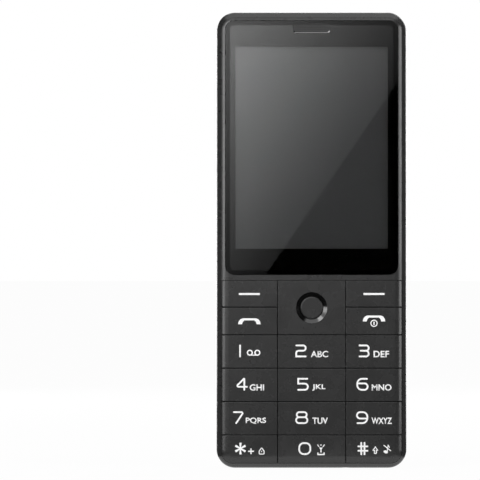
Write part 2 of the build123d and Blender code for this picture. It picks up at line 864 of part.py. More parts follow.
# Charging socket: a folded steel shell with a tongue inside
with BuildPart() as usb_socket:
    with BuildSketch(Plane.XY.offset(socket_mouth)):
        with Locations((-port_from_middle, depth_y(usb_depth))):
            RectangleRounded(usb_width, usb_thickness, usb_corner_radius)
    extrude(amount=usb_length)
    with BuildSketch(Plane.XY.offset(socket_mouth)):
        with Locations((-port_from_middle, depth_y(usb_depth))):
            RectangleRounded(
                usb_width - 2 * usb_shell,
                usb_thickness - 2 * usb_shell,
                usb_corner_radius - usb_shell,
            )
    extrude(amount=usb_length - usb_shell, mode=Mode.SUBTRACT)
    with BuildSketch(Plane.XY.offset(socket_mouth + usb_length)):
        with Locations((-port_from_middle, depth_y(usb_depth))):
            Rectangle(usb_tongue_width, usb_tongue_thickness)
    extrude(amount=-usb_tongue_length)
save(usb_socket, "usb_socket")


def make_shield(width, length, centre):
    """A shield can with a row of dimples along each side."""
    dimples = int(length / shield_dimple_pitch) - 1
    can = board_block(width, length, centre, board_back, board_back + shield_height, shield_corner_radius)
    with BuildPart() as shield:
        add(can.part)
        with BuildSketch(depth_plane(board_back + shield_height)):
            with Locations(centre):
                for side in (-1, 1):
                    with Locations((side * (width / 2 - 2 * shield_corner_radius), 0)):
                        with GridLocations(width, shield_dimple_pitch, 1, dimples):
                            Circle(shield_dimple_radius)
        extrude(amount=shield_dimple_depth, mode=Mode.SUBTRACT)
    return shield


large_shield_centre = (large_shield_inner + large_shield_width / 2, body_height - large_shield_below_top)
small_shield_centre = (
    small_shield_side_clearance + small_shield_width / 2 - hollow_side,
    (bay_top + bay_wall + pill_centre - speaker_height / 2) / 2,
)
save(make_shield(large_shield_width, large_shield_length, large_shield_centre), "radio_shield")
save(make_shield(small_shield_width, small_shield_length, small_shield_centre), "processor_shield")

# Vibration motor: a coin with a rounded top edge
motor_centre = (hollow_side - motor_side_clearance - motor_radius, body_height - motor_below_top)
with BuildPart() as vibration_motor:
    with BuildSketch(depth_plane(board_back + motor_thickness)):
        with Locations(motor_centre):
            Circle(motor_radius)
    extrude(amount=motor_thickness)
    fillet(vibration_motor.faces().sort_by(Axis.Y)[-1].edges(), motor_edge_radius)
save(vibration_motor, "vibration_motor")

# Microphone capsule behind its hole in the bottom wall
with BuildPart() as microphone:
    with BuildSketch(depth_plane(board_back + microphone_height)):
        with Locations((0, microphone_from_base)):
            Circle(microphone_radius)
    extrude(amount=microphone_height)
    fillet(microphone.faces().sort_by(Axis.Y)[-1].edges(), motor_edge_radius)
save(microphone, "microphone")

# Loudspeaker against the chassis wall, its cone towards the back
speaker_back = chassis_rear_wall_front - stack_gap
speaker_centre = (-speaker_from_middle, pill_centre)
with BuildPart() as loudspeaker:
    with BuildSketch(depth_plane(speaker_back)):
        with Locations(speaker_centre):
            RectangleRounded(speaker_width, speaker_height, speaker_corner_radius)
    extrude(amount=speaker_thickness)
    with BuildSketch(depth_plane(speaker_back)):
        with Locations(speaker_centre):
            RectangleRounded(
                speaker_width - 2 * speaker_cone_rim,
                speaker_height - 2 * speaker_cone_rim,
                speaker_corner_radius - speaker_cone_rim / 2,
            )
    extrude(amount=speaker_cone_depth, mode=Mode.SUBTRACT)
save(loudspeaker, "loudspeaker")

# Rear chassis: bay for the battery, hollows over the board, posts for the screws
slot_points = [
    (side * speaker_slot_pitch / 2 - slots_from_middle, pill_centre) for side in (-1, 1)
]
speaker_mesh_centre = (-slots_from_middle, pill_centre)
sim_centres = [
    (side * (sim_width + sim_gap) / 2, bay_above_bottom + sim_above_bay) for side in (-1, 1)
]
memory_centre = (0, bay_above_bottom + memory_above_bay)
contact_centre = (0, bay_top + contact_length / 2 + contact_gap)
screw_seat = chassis_back - screw_seat_depth
with BuildPart() as rear_chassis:
    with BuildSketch(depth_plane(chassis_back)):
        with Locations(body_middle):
            body_outline(chassis_inset)
    extrude(amount=chassis_back - chassis_front)
    fillet(rear_chassis.faces().sort_by(Axis.Y)[-1].edges(), inner_edge_radius)
    # Hollow over the board
    with BuildSketch(depth_plane(chassis_rear_wall_front)):
        with Locations(body_middle):
            body_outline(chassis_inset + chassis_wall)
        with Locations(bay_centre):
            Rectangle(bay_width + 2 * bay_wall, bay_height + 2 * bay_wall, mode=Mode.SUBTRACT)
    extrude(amount=chassis_rear_wall_front - chassis_front + overrun, mode=Mode.SUBTRACT)
    # Battery bay from the back, and the space for the sockets under its floor
    with BuildSketch(depth_plane(chassis_back + overrun)):
        with Locations(bay_centre):
            Rectangle(bay_width, bay_height)
    extrude(amount=chassis_back + overrun - bay_floor_back, mode=Mode.SUBTRACT)
    with BuildSketch(depth_plane(bay_floor_back - bay_floor_thickness)):
        with Locations(bay_centre):
            Rectangle(bay_width, bay_height)
    extrude(amount=bay_floor_back - bay_floor_thickness - chassis_front + overrun, mode=Mode.SUBTRACT)
    # Windows for the card sockets and the battery contacts
    with BuildSketch(depth_plane(bay_floor_back + overrun)):
        with Locations(*sim_centres):
            Rectangle(sim_width + 2 * card_window_clearance, sim_length + 2 * card_window_clearance)
        with Locations(memory_centre):
            Rectangle(memory_width + 2 * card_window_clearance, memory_length + 2 * card_window_clearance)
    extrude(amount=bay_floor_thickness + 2 * overrun, mode=Mode.SUBTRACT)
    with BuildSketch(depth_plane(chassis_back + overrun)):
        with Locations((0, bay_top + contact_length / 2)):
            Rectangle(contact_width + 2 * contact_gap, contact_length + 4 * contact_gap)
    extrude(amount=chassis_back - chassis_front + 2 * overrun, mode=Mode.SUBTRACT)
    # Screw posts with their recesses
    with BuildSketch(depth_plane(chassis_rear_wall_front)):
        with Locations(*screw_points):
            Circle(chassis_post_radius)
    extrude(amount=chassis_rear_wall_front - chassis_front)
    with BuildSketch(depth_plane(chassis_back + overrun)):
        with Locations(*screw_points):
            Circle(screw_radius + screw_clearance)
    extrude(amount=chassis_back - chassis_front + 2 * overrun, mode=Mode.SUBTRACT)
    with BuildSketch(depth_plane(chassis_back + overrun)):
        with Locations(*screw_points):
            Circle(screw_recess_radius)
    extrude(amount=screw_seat_depth + overrun, mode=Mode.SUBTRACT)
    # Openings for the camera, the torch and the loudspeaker
    with BuildSketch(depth_plane(chassis_back + overrun)):
        with Locations((0, camera_centre)):
            Circle(camera_barrel_radius + camera_hole_clearance)
        with Locations((0, torch_centre)):
            Circle(torch_lens_radius + camera_hole_clearance)
        with Locations(*slot_points):
            SlotOverall(speaker_slot_length, speaker_slot_width, rotation=90)
    extrude(amount=chassis_rear_wall + 2 * overrun, mode=Mode.SUBTRACT)
    with BuildSketch(depth_plane(chassis_back + overrun)):
        with Locations(speaker_mesh_centre):
            Rectangle(
                speaker_mesh_width + 2 * speaker_recess_clearance,
                speaker_mesh_height + 2 * speaker_recess_clearance,
            )
    extrude(amount=speaker_recess_depth + overrun, mode=Mode.SUBTRACT)
    # Notches over the two sockets in the bottom wall
    with BuildSketch(Plane.XY):
        with Locations((port_from_middle, depth_y(jack_depth))):
            Rectangle(jack_width + 2 * port_notch_clearance, jack_thickness + 2 * port_notch_clearance)
        with Locations((-port_from_middle, depth_y(usb_depth))):
            Rectangle(usb_width + 2 * port_notch_clearance, usb_thickness + 2 * port_notch_clearance)
        with Locations((0, depth_y(board_back + microphone_height / 2))):
            Circle(microphone_hole_radius)
    extrude(amount=chassis_inset + chassis_wall + overrun, mode=Mode.SUBTRACT)
save(rear_chassis, "rear_chassis")

# Antenna plate under the chassis wall, a bent track cut from one sheet
antenna_centre = (0, body_height - antenna_below_top)
with BuildPart() as antenna:
    with BuildSketch(depth_plane(chassis_rear_wall_front - stack_gap)):
        with Locations(antenna_centre):
            Rectangle(antenna_width, antenna_height)
            with Locations((antenna_arm, 0)):
                Rectangle(antenna_width, antenna_slot_width, mode=Mode.SUBTRACT)
    extrude(amount=antenna_thickness)
save(antenna, "antenna")

# Housing screws, driven from the back through chassis and board
screw_tip = mat_front + boss_floor + screw_tip_depth
with BuildPart() as housing_screws:
    with BuildSketch(depth_plane(screw_seat)):
        with Locations(*screw_points):
            Circle(screw_radius)
    extrude(amount=screw_seat - screw_tip)
    with BuildSketch(depth_plane(screw_seat + screw_head_height)):
        with Locations(*screw_points):
            Circle(screw_head_radius)
    extrude(amount=screw_head_height)
    with BuildSketch(depth_plane(screw_seat + screw_head_height)):
        with Locations(*screw_points):
            RegularPolygon(screw_drive_radius, 6)
    extrude(amount=screw_drive_depth, mode=Mode.SUBTRACT)
save(housing_screws, "housing_screws")

# Battery pack
with BuildPart() as battery:
    with BuildSketch(depth_plane(battery_back)):
        with Locations(bay_centre):
            RectangleRounded(battery_width, battery_height, battery_edge_radius)
    extrude(amount=battery_thickness)
    fillet(battery.faces().sort_by(Axis.Y)[-1].edges(), battery_edge_radius / 2)
save(battery, "battery")

# Battery contacts: a block on the board with three blades
with BuildPart() as battery_contacts:
    with BuildSketch(depth_plane(board_back + contact_height)):
        with Locations(contact_centre):
            Rectangle(contact_width, contact_length)
    extrude(amount=contact_height)
    with BuildSketch(depth_plane(board_back + contact_height)):
        with Locations(contact_centre):
            with GridLocations(contact_blade_pitch, contact_length, 3, 1):
                Rectangle(contact_blade_width, contact_length - 2 * contact_blade_depth)
    extrude(amount=contact_blade_depth, mode=Mode.SUBTRACT)
save(battery_contacts, "battery_contacts")


def make_card_socket(width, length, centre):
    """A card socket: a stamped shell over a slot that is open at one end."""
    shell = board_block(width, length, centre, board_back, board_back + card_socket_height, card_lip)
    with BuildPart() as socket:
        add(shell.part)
        with BuildSketch(depth_plane(board_back + card_lip + card_slot_height)):
            with Locations((centre[0], centre[1] - card_lip)):
                Rectangle(width - 2 * card_lip, length)
        extrude(amount=card_slot_height, mode=Mode.SUBTRACT)
    return socket


save(make_card_socket(sim_width, sim_length, sim_centres[0]), "sim_socket_left")
save(make_card_socket(sim_width, sim_length, sim_centres[1]), "sim_socket_right")
save(make_card_socket(memory_width, memory_length, memory_centre), "memory_card_socket")

# Rear cover: a shallow shell with a broad rounded edge
with BuildPart() as cover_hollow:
    with BuildSketch(depth_plane(cover_inner)):
        with Locations(body_middle):
            body_outline(cover_side_wall)
    extrude(amount=cover_inner - cover_front + overrun)
    fillet(cover_hollow.faces().sort_by(Axis.Y)[-1].edges(), inner_edge_radius)

with BuildPart() as rear_cover:
    with BuildSketch(depth_plane(body_depth)):
        with Locations(body_middle):
            body_outline(0)
    extrude(amount=body_depth - cover_front)
    fillet(rear_cover.faces().sort_by(Axis.Y)[-1].edges(), cover_edge_radius)
    add(cover_hollow.part, mode=Mode.SUBTRACT)
    with BuildSketch(depth_plane(body_depth + overrun)):
        with Locations((0, pill_centre)):
            SlotOverall(pill_height + 2 * pill_clearance, pill_width + 2 * pill_clearance, rotation=90)
    extrude(amount=cover_wall + 2 * overrun, mode=Mode.SUBTRACT)
    pill_edges = rear_cover.faces().sort_by(Axis.Y)[-1].inner_wires()[0].edges()
    chamfer(pill_edges, pill_bevel)
    with BuildSketch(depth_plane(body_depth + overrun)):
        with Locations(*slot_points):
            SlotOverall(speaker_slot_length, speaker_slot_width, rotation=90)
    extrude(amount=cover_wall + 2 * overrun, mode=Mode.SUBTRACT)
save(rear_cover, "rear_cover")

# Speaker mesh in its recess in the chassis
with BuildPart() as speaker_mesh:
    with BuildSketch(depth_plane(chassis_back - speaker_recess_depth + speaker_mesh_thickness)):
        with Locations(speaker_mesh_centre):
            Rectangle(speaker_mesh_width, speaker_mesh_height)
    extrude(amount=speaker_mesh_thickness)
save(speaker_mesh, "speaker_mesh")

# Bright ring of the pill, standing on the chassis
with BuildPart() as camera_bezel:
    with BuildSketch(depth_plane(bezel_back)):
        with Locations((0, pill_centre)):
            SlotOverall(pill_height, pill_width, rotation=90)
    extrude(amount=bezel_back - chassis_back)
    with BuildSketch(depth_plane(bezel_back)):
        with Locations((0, pill_centre)):
            SlotOverall(pill_height - 2 * pill_rim, pill_width - 2 * pill_rim, rotation=90)
    extrude(amount=bezel_back - bezel_ledge_back, mode=Mode.SUBTRACT)
    inner_rim = pill_rim + pill_ledge
    with BuildSketch(depth_plane(bezel_back)):
        with Locations((0, pill_centre)):
            SlotOverall(pill_height - 2 * inner_rim, pill_width - 2 * inner_rim, rotation=90)
    extrude(amount=bezel_back - chassis_back + overrun, mode=Mode.SUBTRACT)
save(camera_bezel, "camera_bezel")

# Dark window of the pill, with holes for the camera lens and the torch lens
with BuildPart() as camera_window:
    with BuildSketch(depth_plane(pill_window_back)):
        with Locations((0, pill_centre)):
            window_inset = pill_rim + pill_window_clearance
            SlotOverall(pill_height - 2 * window_inset, pill_width - 2 * window_inset, rotation=90)
        with Locations((0, camera_centre)):
            Circle(camera_lens_radius + pill_window_clearance, mode=Mode.SUBTRACT)
        with Locations((0, torch_centre)):
            Circle(torch_lens_radius + pill_window_clearance, mode=Mode.SUBTRACT)
    extrude(amount=pill_window_thickness)
save(camera_window, "camera_window")

# Camera: cover lens, and the module with its barrel
with BuildPart() as camera_lens:
    with BuildSketch(depth_plane(pill_window_back - stack_gap)):
        with Locations((0, camera_centre)):
            Circle(camera_lens_radius)
    extrude(amount=camera_lens_thickness)
save(camera_lens, "camera_lens")

camera_lens_front = pill_window_back - stack_gap - camera_lens_thickness
with BuildPart() as camera_module:
    with BuildSketch(depth_plane(board_back + camera_base_height)):
        with Locations((0, camera_centre)):
            Rectangle(camera_base, camera_base)
    extrude(amount=camera_base_height)
    with BuildSketch(depth_plane(camera_lens_front - camera_barrel_gap)):
        with Locations((0, camera_centre)):
            Circle(camera_barrel_radius)
    extrude(amount=camera_lens_front - camera_barrel_gap - board_back - camera_base_height)
save(camera_module, "camera_module")

# Torch: the lamp on the board and the lens that leads its light out
with BuildPart() as torch_led:
    with BuildSketch(depth_plane(board_back + torch_led_height)):
        with Locations((0, torch_centre)):
            Rectangle(torch_led_size, torch_led_size)
    extrude(amount=torch_led_height)
save(torch_led, "torch_led")

with BuildPart() as torch_lens:
    with BuildSketch(depth_plane(chassis_rear_wall_front - stack_gap)):
        with Locations((0, torch_centre)):
            Circle(torch_flange_radius)
    extrude(amount=torch_flange_thickness)
    with BuildSketch(depth_plane(pill_window_back)):
        with Locations((0, torch_centre)):
            Circle(torch_lens_radius)
    extrude(amount=pill_window_back - board_back - torch_led_height - stack_gap)
save(torch_lens, "torch_lens")
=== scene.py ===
import json
import math

import bmesh
import bpy
from mathutils import Matrix, Vector


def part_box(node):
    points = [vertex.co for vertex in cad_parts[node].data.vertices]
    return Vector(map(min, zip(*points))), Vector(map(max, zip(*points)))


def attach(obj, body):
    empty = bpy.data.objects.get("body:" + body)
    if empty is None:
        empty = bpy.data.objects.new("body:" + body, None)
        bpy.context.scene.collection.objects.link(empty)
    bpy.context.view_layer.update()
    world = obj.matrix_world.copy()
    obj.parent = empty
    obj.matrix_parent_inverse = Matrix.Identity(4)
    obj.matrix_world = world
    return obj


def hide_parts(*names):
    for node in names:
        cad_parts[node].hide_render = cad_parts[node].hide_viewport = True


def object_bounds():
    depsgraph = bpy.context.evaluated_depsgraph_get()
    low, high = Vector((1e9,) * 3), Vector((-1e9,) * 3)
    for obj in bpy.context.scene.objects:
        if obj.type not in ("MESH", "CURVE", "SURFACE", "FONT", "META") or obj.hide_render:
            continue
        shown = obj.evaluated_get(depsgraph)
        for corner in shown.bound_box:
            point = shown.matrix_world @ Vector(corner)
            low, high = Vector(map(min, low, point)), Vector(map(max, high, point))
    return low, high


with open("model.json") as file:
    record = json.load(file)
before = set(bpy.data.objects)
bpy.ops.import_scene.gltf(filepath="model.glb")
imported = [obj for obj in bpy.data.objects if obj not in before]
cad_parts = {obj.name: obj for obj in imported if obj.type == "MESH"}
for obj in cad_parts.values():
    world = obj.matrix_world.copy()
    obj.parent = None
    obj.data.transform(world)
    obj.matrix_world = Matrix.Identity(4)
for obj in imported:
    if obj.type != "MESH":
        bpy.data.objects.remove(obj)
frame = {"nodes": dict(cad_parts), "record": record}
cad_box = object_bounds()

show = bpy.context.scene.collection.objects.link

# Units and the frame's own places
MM = 0.001
FACE_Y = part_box("key_5")[0].y
PHONE_HEIGHT = cad_box[1].z
WINDOW_LOW, WINDOW_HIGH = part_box("display_window")
PILL_LOW, PILL_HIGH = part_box("camera_bezel")
TORCH_LOW, TORCH_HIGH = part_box("torch_lens")
# Width of the painted shade along the camera bezel's outer edge, and how soft its edge is
BEZEL_PAINTED_SHADE_WIDTH = 0.26 * MM
BEZEL_SHADE_EDGE_BLUR = 0.02 * MM


# Nodes and colours


def add_node(tree, kind, settings=None, links=None):
    """Adds a node with its settings; a link's value is a number, a colour or another node's output."""
    made = tree.nodes.new(kind)
    for name, value in (settings or {}).items():
        setattr(made, name, value)
    for name, value in (links or {}).items():
        if isinstance(value, bpy.types.NodeSocket):
            tree.links.new(value, made.inputs[name])
        else:
            made.inputs[name].default_value = value
    return made


def colour(code):
    """Linear colour of an sRGB hex value."""
    parts = [int(code[i:i + 2], 16) / 255 for i in (0, 2, 4)]
    linear = [c / 12.92 if c <= 0.04045 else ((c + 0.055) / 1.055) ** 2.4 for c in parts]
    return (*linear, 1.0)


def calculate(tree, operation, first, second):
    """Result of one step of arithmetic."""
    return add_node(tree, "ShaderNodeMath", {"operation": operation}, {0: first, 1: second}).outputs[0]


def empty_material(name):
    """A node material that holds no node yet."""
    made = bpy.data.materials.new(name)
    made.use_nodes = True
    made.node_tree.nodes.clear()
    return made, made.node_tree


def new_material(name):
    """A node material with its Principled shader on the output."""
    made, tree = empty_material(name)
    shader = add_node(tree, "ShaderNodeBsdfPrincipled")
    add_node(tree, "ShaderNodeOutputMaterial", links={"Surface": shader.outputs["BSDF"]})
    place = add_node(tree, "ShaderNodeTexCoord").outputs["Object"]
    return made, tree, shader, place


def map_range(tree, value, low, high, first=0.0, last=1.0):
    """Stretches what lies between low and high over the range from first to last."""
    ends = {"From Min": low, "From Max": high, "To Min": first, "To Max": last}
    return add_node(tree, "ShaderNodeMapRange", links={"Value": value, **ends}).outputs["Result"]


def cloudy(tree, place, size, low, high, detail=3.0):
    """A soft noise of a real size in metres, spread between two values."""
    given = {"Vector": place, "Scale": 1 / size, "Detail": detail}
    noise = add_node(tree, "ShaderNodeTexNoise", links=given)
    return map_range(tree, noise.outputs["Fac"], 0.3, 0.7, low, high)


def two_tone(tree, fac, first, second):
    """A colour between two hex values."""
    ends = {0: fac, 6: colour(first), 7: colour(second)}
    return add_node(tree, "ShaderNodeMix", {"data_type": "RGBA"}, ends).outputs[2]


def relief(tree, shader, height, depth, strength=1.0):
    """Puts a height pattern on the shader as a bump of a real depth in metres."""
    given = {"Height": height, "Distance": depth, "Strength": strength}
    bump = add_node(tree, "ShaderNodeBump", links=given)
    tree.links.new(bump.outputs["Normal"], shader.inputs["Normal"])


def surface(tree, shader, fac, first, second, roughness):
    """Feeds the shader a colour between two hex values, and its roughness."""
    tree.links.new(two_tone(tree, fac, first, second), shader.inputs["Base Color"])
    tree.links.new(roughness, shader.inputs["Roughness"])


# Finishes


def moulded(name, first, second, roughness, grain=0.28 * MM, grain_depth=0.004 * MM, specular=0.5):
    """Injection-moulded plastic from a spark-eroded tool: an even, fine matt grain."""
    made, tree, shader, place = new_material(name)
    tone = cloudy(tree, place, 9 * MM, 0.0, 1.0)
    rough = cloudy(tree, place, 4 * MM, roughness - 0.03, roughness + 0.03)
    surface(tree, shader, tone, first, second, rough)
    shader.inputs["IOR"].default_value = 1.5
    shader.inputs["Specular IOR Level"].default_value = specular
    relief(tree, shader, cloudy(tree, place, grain, 0.0, 1.0, 2.0), grain_depth)
    return made


def plated(name, first, second, roughness, brushed):
    """Metal with rolling or polishing marks that run along its length."""
    made, tree, shader, place = new_material(name)
    stretched = add_node(
        tree, "ShaderNodeMapping", links={"Vector": place, "Scale": (1.0, 1.0, brushed)}
    ).outputs["Vector"]
    marks = cloudy(tree, stretched, 0.35 * MM, 0.0, 1.0, 4.0)
    rough = cloudy(tree, stretched, 0.5 * MM, roughness * 0.8, roughness * 1.25)
    surface(tree, shader, marks, first, second, rough)
    shader.inputs["Metallic"].default_value = 1.0
    relief(tree, shader, marks, 0.001 * MM)
    return made


def bezel_with_painted_shade():
    """Silver ring, partly metallic, with its outer band painted near black: painted shade that leaves a
    thin bright line round the window.
    """
    made, tree, shader, place = new_material("silver_bezel_painted_shade")
    middle = (PILL_LOW + PILL_HIGH) / 2
    half_width = (PILL_HIGH.x - PILL_LOW.x) / 2
    half_height = (PILL_HIGH.z - PILL_LOW.z) / 2
    shade_edge = half_width - BEZEL_PAINTED_SHADE_WIDTH
    steps = (
        ("SUBTRACT", middle),
        ("MULTIPLY", (1.0, 0.0, 1.0)),
        ("ABSOLUTE", None),
        ("SUBTRACT", (0.0, 0.0, half_height - half_width)),
        ("MAXIMUM", (0.0, 0.0, 0.0)),
    )
    reached = place
    for operation, value in steps:
        step = add_node(tree, "ShaderNodeVectorMath", {"operation": operation}, {0: reached})
        if value:
            step.inputs[1].default_value = value
        reached = step.outputs["Vector"]
    radius = add_node(tree, "ShaderNodeVectorMath", {"operation": "LENGTH"}, {0: reached})
    edge = radius.outputs["Value"]
    # Painted shade: the outer band of the bezel is painted near black
    dark = map_range(tree, edge, shade_edge - BEZEL_SHADE_EDGE_BLUR, shade_edge + BEZEL_SHADE_EDGE_BLUR)
    surface(tree, shader, dark, "F2F2F3", "1A1A1B", cloudy(tree, place, 0.5 * MM, 0.24, 0.32))
    shader.inputs["Metallic"].default_value = 0.4
    return made


def clear_glass():
    """Chemically toughened cover glass, polished: clear, with a trace of wiping."""
    made, tree, shader, place = new_material("toughened_glass")
    shader.inputs["Transmission Weight"].default_value = 1.0
    shader.inputs["IOR"].default_value = 1.5
    tone = cloudy(tree, place, 30 * MM, 0.0, 1.0)
    rough = cloudy(tree, place, 22 * MM, 0.004, 0.02)
    surface(tree, shader, tone, "FFFFFF", "FBFDFC", rough)
    return made


def black_glass():
    """Glass backed with black lacquer: a deep black with a wet shine."""
    made, tree, shader, place = new_material("lacquered_glass")
    tone = cloudy(tree, place, 5 * MM, 0.0, 1.0)
    surface(tree, shader, tone, "040404", "070707", cloudy(tree, place, 6 * MM, 0.03, 0.06))
    shader.inputs["IOR"].default_value = 1.5
    return made


def screen_ink(name, first, second, roughness, specular=0.5):
    """Screen-printed ink: an opaque even film with a very fine orange peel."""
    made, tree, shader, place = new_material(name)
    tone = cloudy(tree, place, 2.5 * MM, 0.0, 1.0)
    rough = cloudy(tree, place, 1.2 * MM, roughness - 0.05, roughness + 0.05)
    surface(tree, shader, tone, first, second, rough)
    shader.inputs["Specular IOR Level"].default_value = specular
    relief(tree, shader, cloudy(tree, place, 0.4 * MM, 0.0, 1.0), 0.0003 * MM)
    return made


# A wave texture of scale 1 has a band this far apart, in metres
WAVE_UNIT = 0.31
CELL_PITCH = 0.18 * MM


def polariser():
    """Liquid crystal panel, switched off: a dark grey film over columns of cells 0.18 mm apart."""
    made, tree, shader, place = new_material("polariser_film")
    bands = {"bands_direction": "X", "wave_profile": "SAW"}
    given = {"Vector": place, "Scale": WAVE_UNIT / CELL_PITCH}
    columns = add_node(tree, "ShaderNodeTexWave", bands, given).outputs["Fac"]
    surface(tree, shader, columns, "464647", "4B4B4C", cloudy(tree, place, 14 * MM, 0.05, 0.08))
    shader.inputs["Specular IOR Level"].default_value = 0.5
    return made


def phosphor():
    """Clear polycarbonate over a yellow phosphor lamp: brightest round its rim, cloudy in the middle."""
    made, tree, shader, place = new_material("phosphor_lens")
    middle = (TORCH_LOW + TORCH_HIGH) / 2
    reach = (TORCH_HIGH.x - TORCH_LOW.x) / 2 * 0.72
    centred = add_node(
        tree,
        "ShaderNodeMapping",
        {"vector_type": "TEXTURE"},
        {
            "Vector": place,
            "Location": (middle.x, TORCH_HIGH.y, middle.z),
            "Scale": (reach, reach * 4, reach),
        },
    ).outputs["Vector"]
    glow = add_node(
        tree, "ShaderNodeTexGradient", {"gradient_type": "SPHERICAL"}, {"Vector": centred}
    ).outputs["Fac"]
    clouds = cloudy(tree, place, 1.1 * MM, -0.25, 0.25)
    adding = {"operation": "ADD", "use_clamp": True}
    total = add_node(tree, "ShaderNodeMath", adding, {0: glow, 1: clouds})
    rough = cloudy(tree, place, 0.8 * MM, 0.12, 0.22)
    surface(tree, shader, total.outputs[0], "F4F4A8", "CFCF50", rough)
    shader.inputs["IOR"].default_value = 1.58
    shader.inputs["Subsurface Weight"].default_value = 0.2
    shader.inputs["Subsurface Radius"].default_value = (0.5, 0.45, 0.2)
    shader.inputs["Subsurface Scale"].default_value = 0.5 * MM
    return made


def coated_lens_painted_sheen():
    """A ground lens with a purple anti-reflection coat over a dark stop; its colour is painted lighter
    where it turns edge-on, a painted sheen.
    """
    made, tree, shader, place = new_material("coated_lens_painted_sheen")
    # Painted sheen: the colour is lighter where the surface is seen edge-on
    facing = add_node(tree, "ShaderNodeLayerWeight", links={"Blend": 0.35}).outputs["Facing"]
    surface(tree, shader, facing, "160B14", "3C1E2C", cloudy(tree, place, 1 * MM, 0.02, 0.05))
    shader.inputs["IOR"].default_value = 1.7
    shader.inputs["Coat Weight"].default_value = 1.0
    shader.inputs["Coat Roughness"].default_value = 0.02
    shader.inputs["Coat Tint"].default_value = colour("F0C8D8")
    return made


def rubber(name, first, second, roughness):
    """Pressed silicone or foam, black where it keeps light in: soft, without shine."""
    made, tree, shader, place = new_material(name)
    tone = cloudy(tree, place, 1.5 * MM, 0.0, 1.0)
    surface(tree, shader, tone, first, second, cloudy(tree, place, 2 * MM, roughness - 0.06, roughness))
    relief(tree, shader, cloudy(tree, place, 0.3 * MM, 0.0, 1.0), 0.008 * MM)
    return made


def solder_mask():
    """Green solder mask on glass-fibre laminate, with copper tracks that show through as paler lines."""
    made, tree, shader, place = new_material("solder_mask")
    cells = {"feature": "F1", "distance": "MANHATTAN"}
    given = {"Vector": place, "Scale": 1 / (2.2 * MM)}
    tracks = add_node(tree, "ShaderNodeTexVoronoi", cells, given).outputs["Distance"]
    surface(tree, shader, tracks, "0F3D22", "1B5A33", cloudy(tree, place, 2 * MM, 0.32, 0.42))
    relief(tree, shader, tracks, 0.02 * MM)
    return made


finishes = {
    "housing_plastic": moulded("moulded_housing", "2B2B2B", "2E2E2E", 0.28),
    "cover_plastic": moulded("moulded_cover", "3A3A3A", "3E3E3E", 0.40),
    "chassis_plastic": moulded("moulded_chassis", "1C1C1D", "222223", 0.52),
    "key_plastic": moulded("lacquered_keys", "2B2B2B", "2E2E2E", 0.27, 0.22 * MM, 0.002 * MM),
    "window_glass": clear_glass(),
    "display_glass": polariser(),
    "dark_glass": black_glass(),
    "bright_ring": bezel_with_painted_shade(),
    "torch_plastic": phosphor(),
    "white_plastic": moulded("white_lamp_body", "E4E4DE", "EEEEE8", 0.5),
    "black_plastic": moulded("black_nylon", "121213", "181819", 0.5),
    "silicone": rubber("silicone_rubber", "0E0E0E", "141414", 0.62),
    "foam_adhesive": rubber("black_foam_tape", "0C0C0C", "141414", 0.9),
    "flex_film": screen_ink("polyimide_film", "8A4A12", "A05A1C", 0.3),
    "stamped_steel": plated("stamped_steel", "A2A3A5", "BCBDBE", 0.32, 0.06),
    "steel_mesh": plated("blackened_steel", "1A1A1B", "2A2A2B", 0.42, 1.0),
    "screw_steel": plated("oxidised_steel", "3A3A3C", "4E4E50", 0.36, 1.0),
    "gilded_brass": plated("gilded_brass", "C79C3E", "DDB45A", 0.24, 0.1),
    "board_laminate": solder_mask(),
    "battery_wrap": moulded("battery_sleeve", "1B1C20", "24252A", 0.34),
}


def repaint(node, material):
    """Gives a CAD node its material."""
    frame["nodes"][node].data.materials.clear()
    frame["nodes"][node].data.materials.append(material)


for row in frame["record"]["subparts"]:
    repaint(row["node"], finishes[row["material_slot"]])

legend_ink = screen_ink("white_legend_lacquer", "F4F4F4", "FAFAFA", 0.45)
border_ink = screen_ink("black_border_ink", "020202", "050505", 0.6, 0.0)
lens_coat_painted_sheen = coated_lens_painted_sheen()
ring_lacquer = moulded("polished_ring", "0A0A0A", "0E0E0E", 0.1, 0.28 * MM, 0.0003 * MM)
ring_ink = screen_ink("grey_ring_ink", "4A4A4A", "525252", 0.4)
lip_plastic = moulded("polished_lip", "141414", "181818", 0.1, 0.28 * MM, 0.0003 * MM, 1.0)
painted_mesh = moulded("painted_mesh", "343434", "3C3C3C", 0.45)


# Making meshes


def finish_piece(name, mesh, material, body):
    """Puts a finished mesh in the scene and lets it ride on a body."""
    mesh.materials.clear()
    mesh.materials.append(material)
    piece = bpy.data.objects.new(name, mesh)
    show(piece)
    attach(piece, body)
    return piece


def points_at(mesh, outline, depth):
    """Adds an outline's points to a mesh, at a depth."""
    return [mesh.verts.new((p[0], depth, p[1])) for p in outline]


def save_mesh(name, mesh):
    """Ends the work on a mesh, with its faces outward."""
    bmesh.ops.recalc_face_normals(mesh, faces=mesh.faces)
    made = bpy.data.meshes.new(name)
    mesh.to_mesh(made)
    mesh.free()
    return made


def plain_mesh(holder):
    """The mesh that an object evaluates to; the object itself goes."""
    show(holder)
    bpy.context.view_layer.update()
    shown = holder.evaluated_get(bpy.context.evaluated_depsgraph_get())
    made = bpy.data.meshes.new_from_object(shown)
    bpy.data.objects.remove(holder)
    return made


CORNER_STEPS = 8
CAP_STEPS = 6
NEARLY_STRAIGHT = math.radians(88)
SHARPEST_TURN = 0.6
SAME_POINT = 1e-7


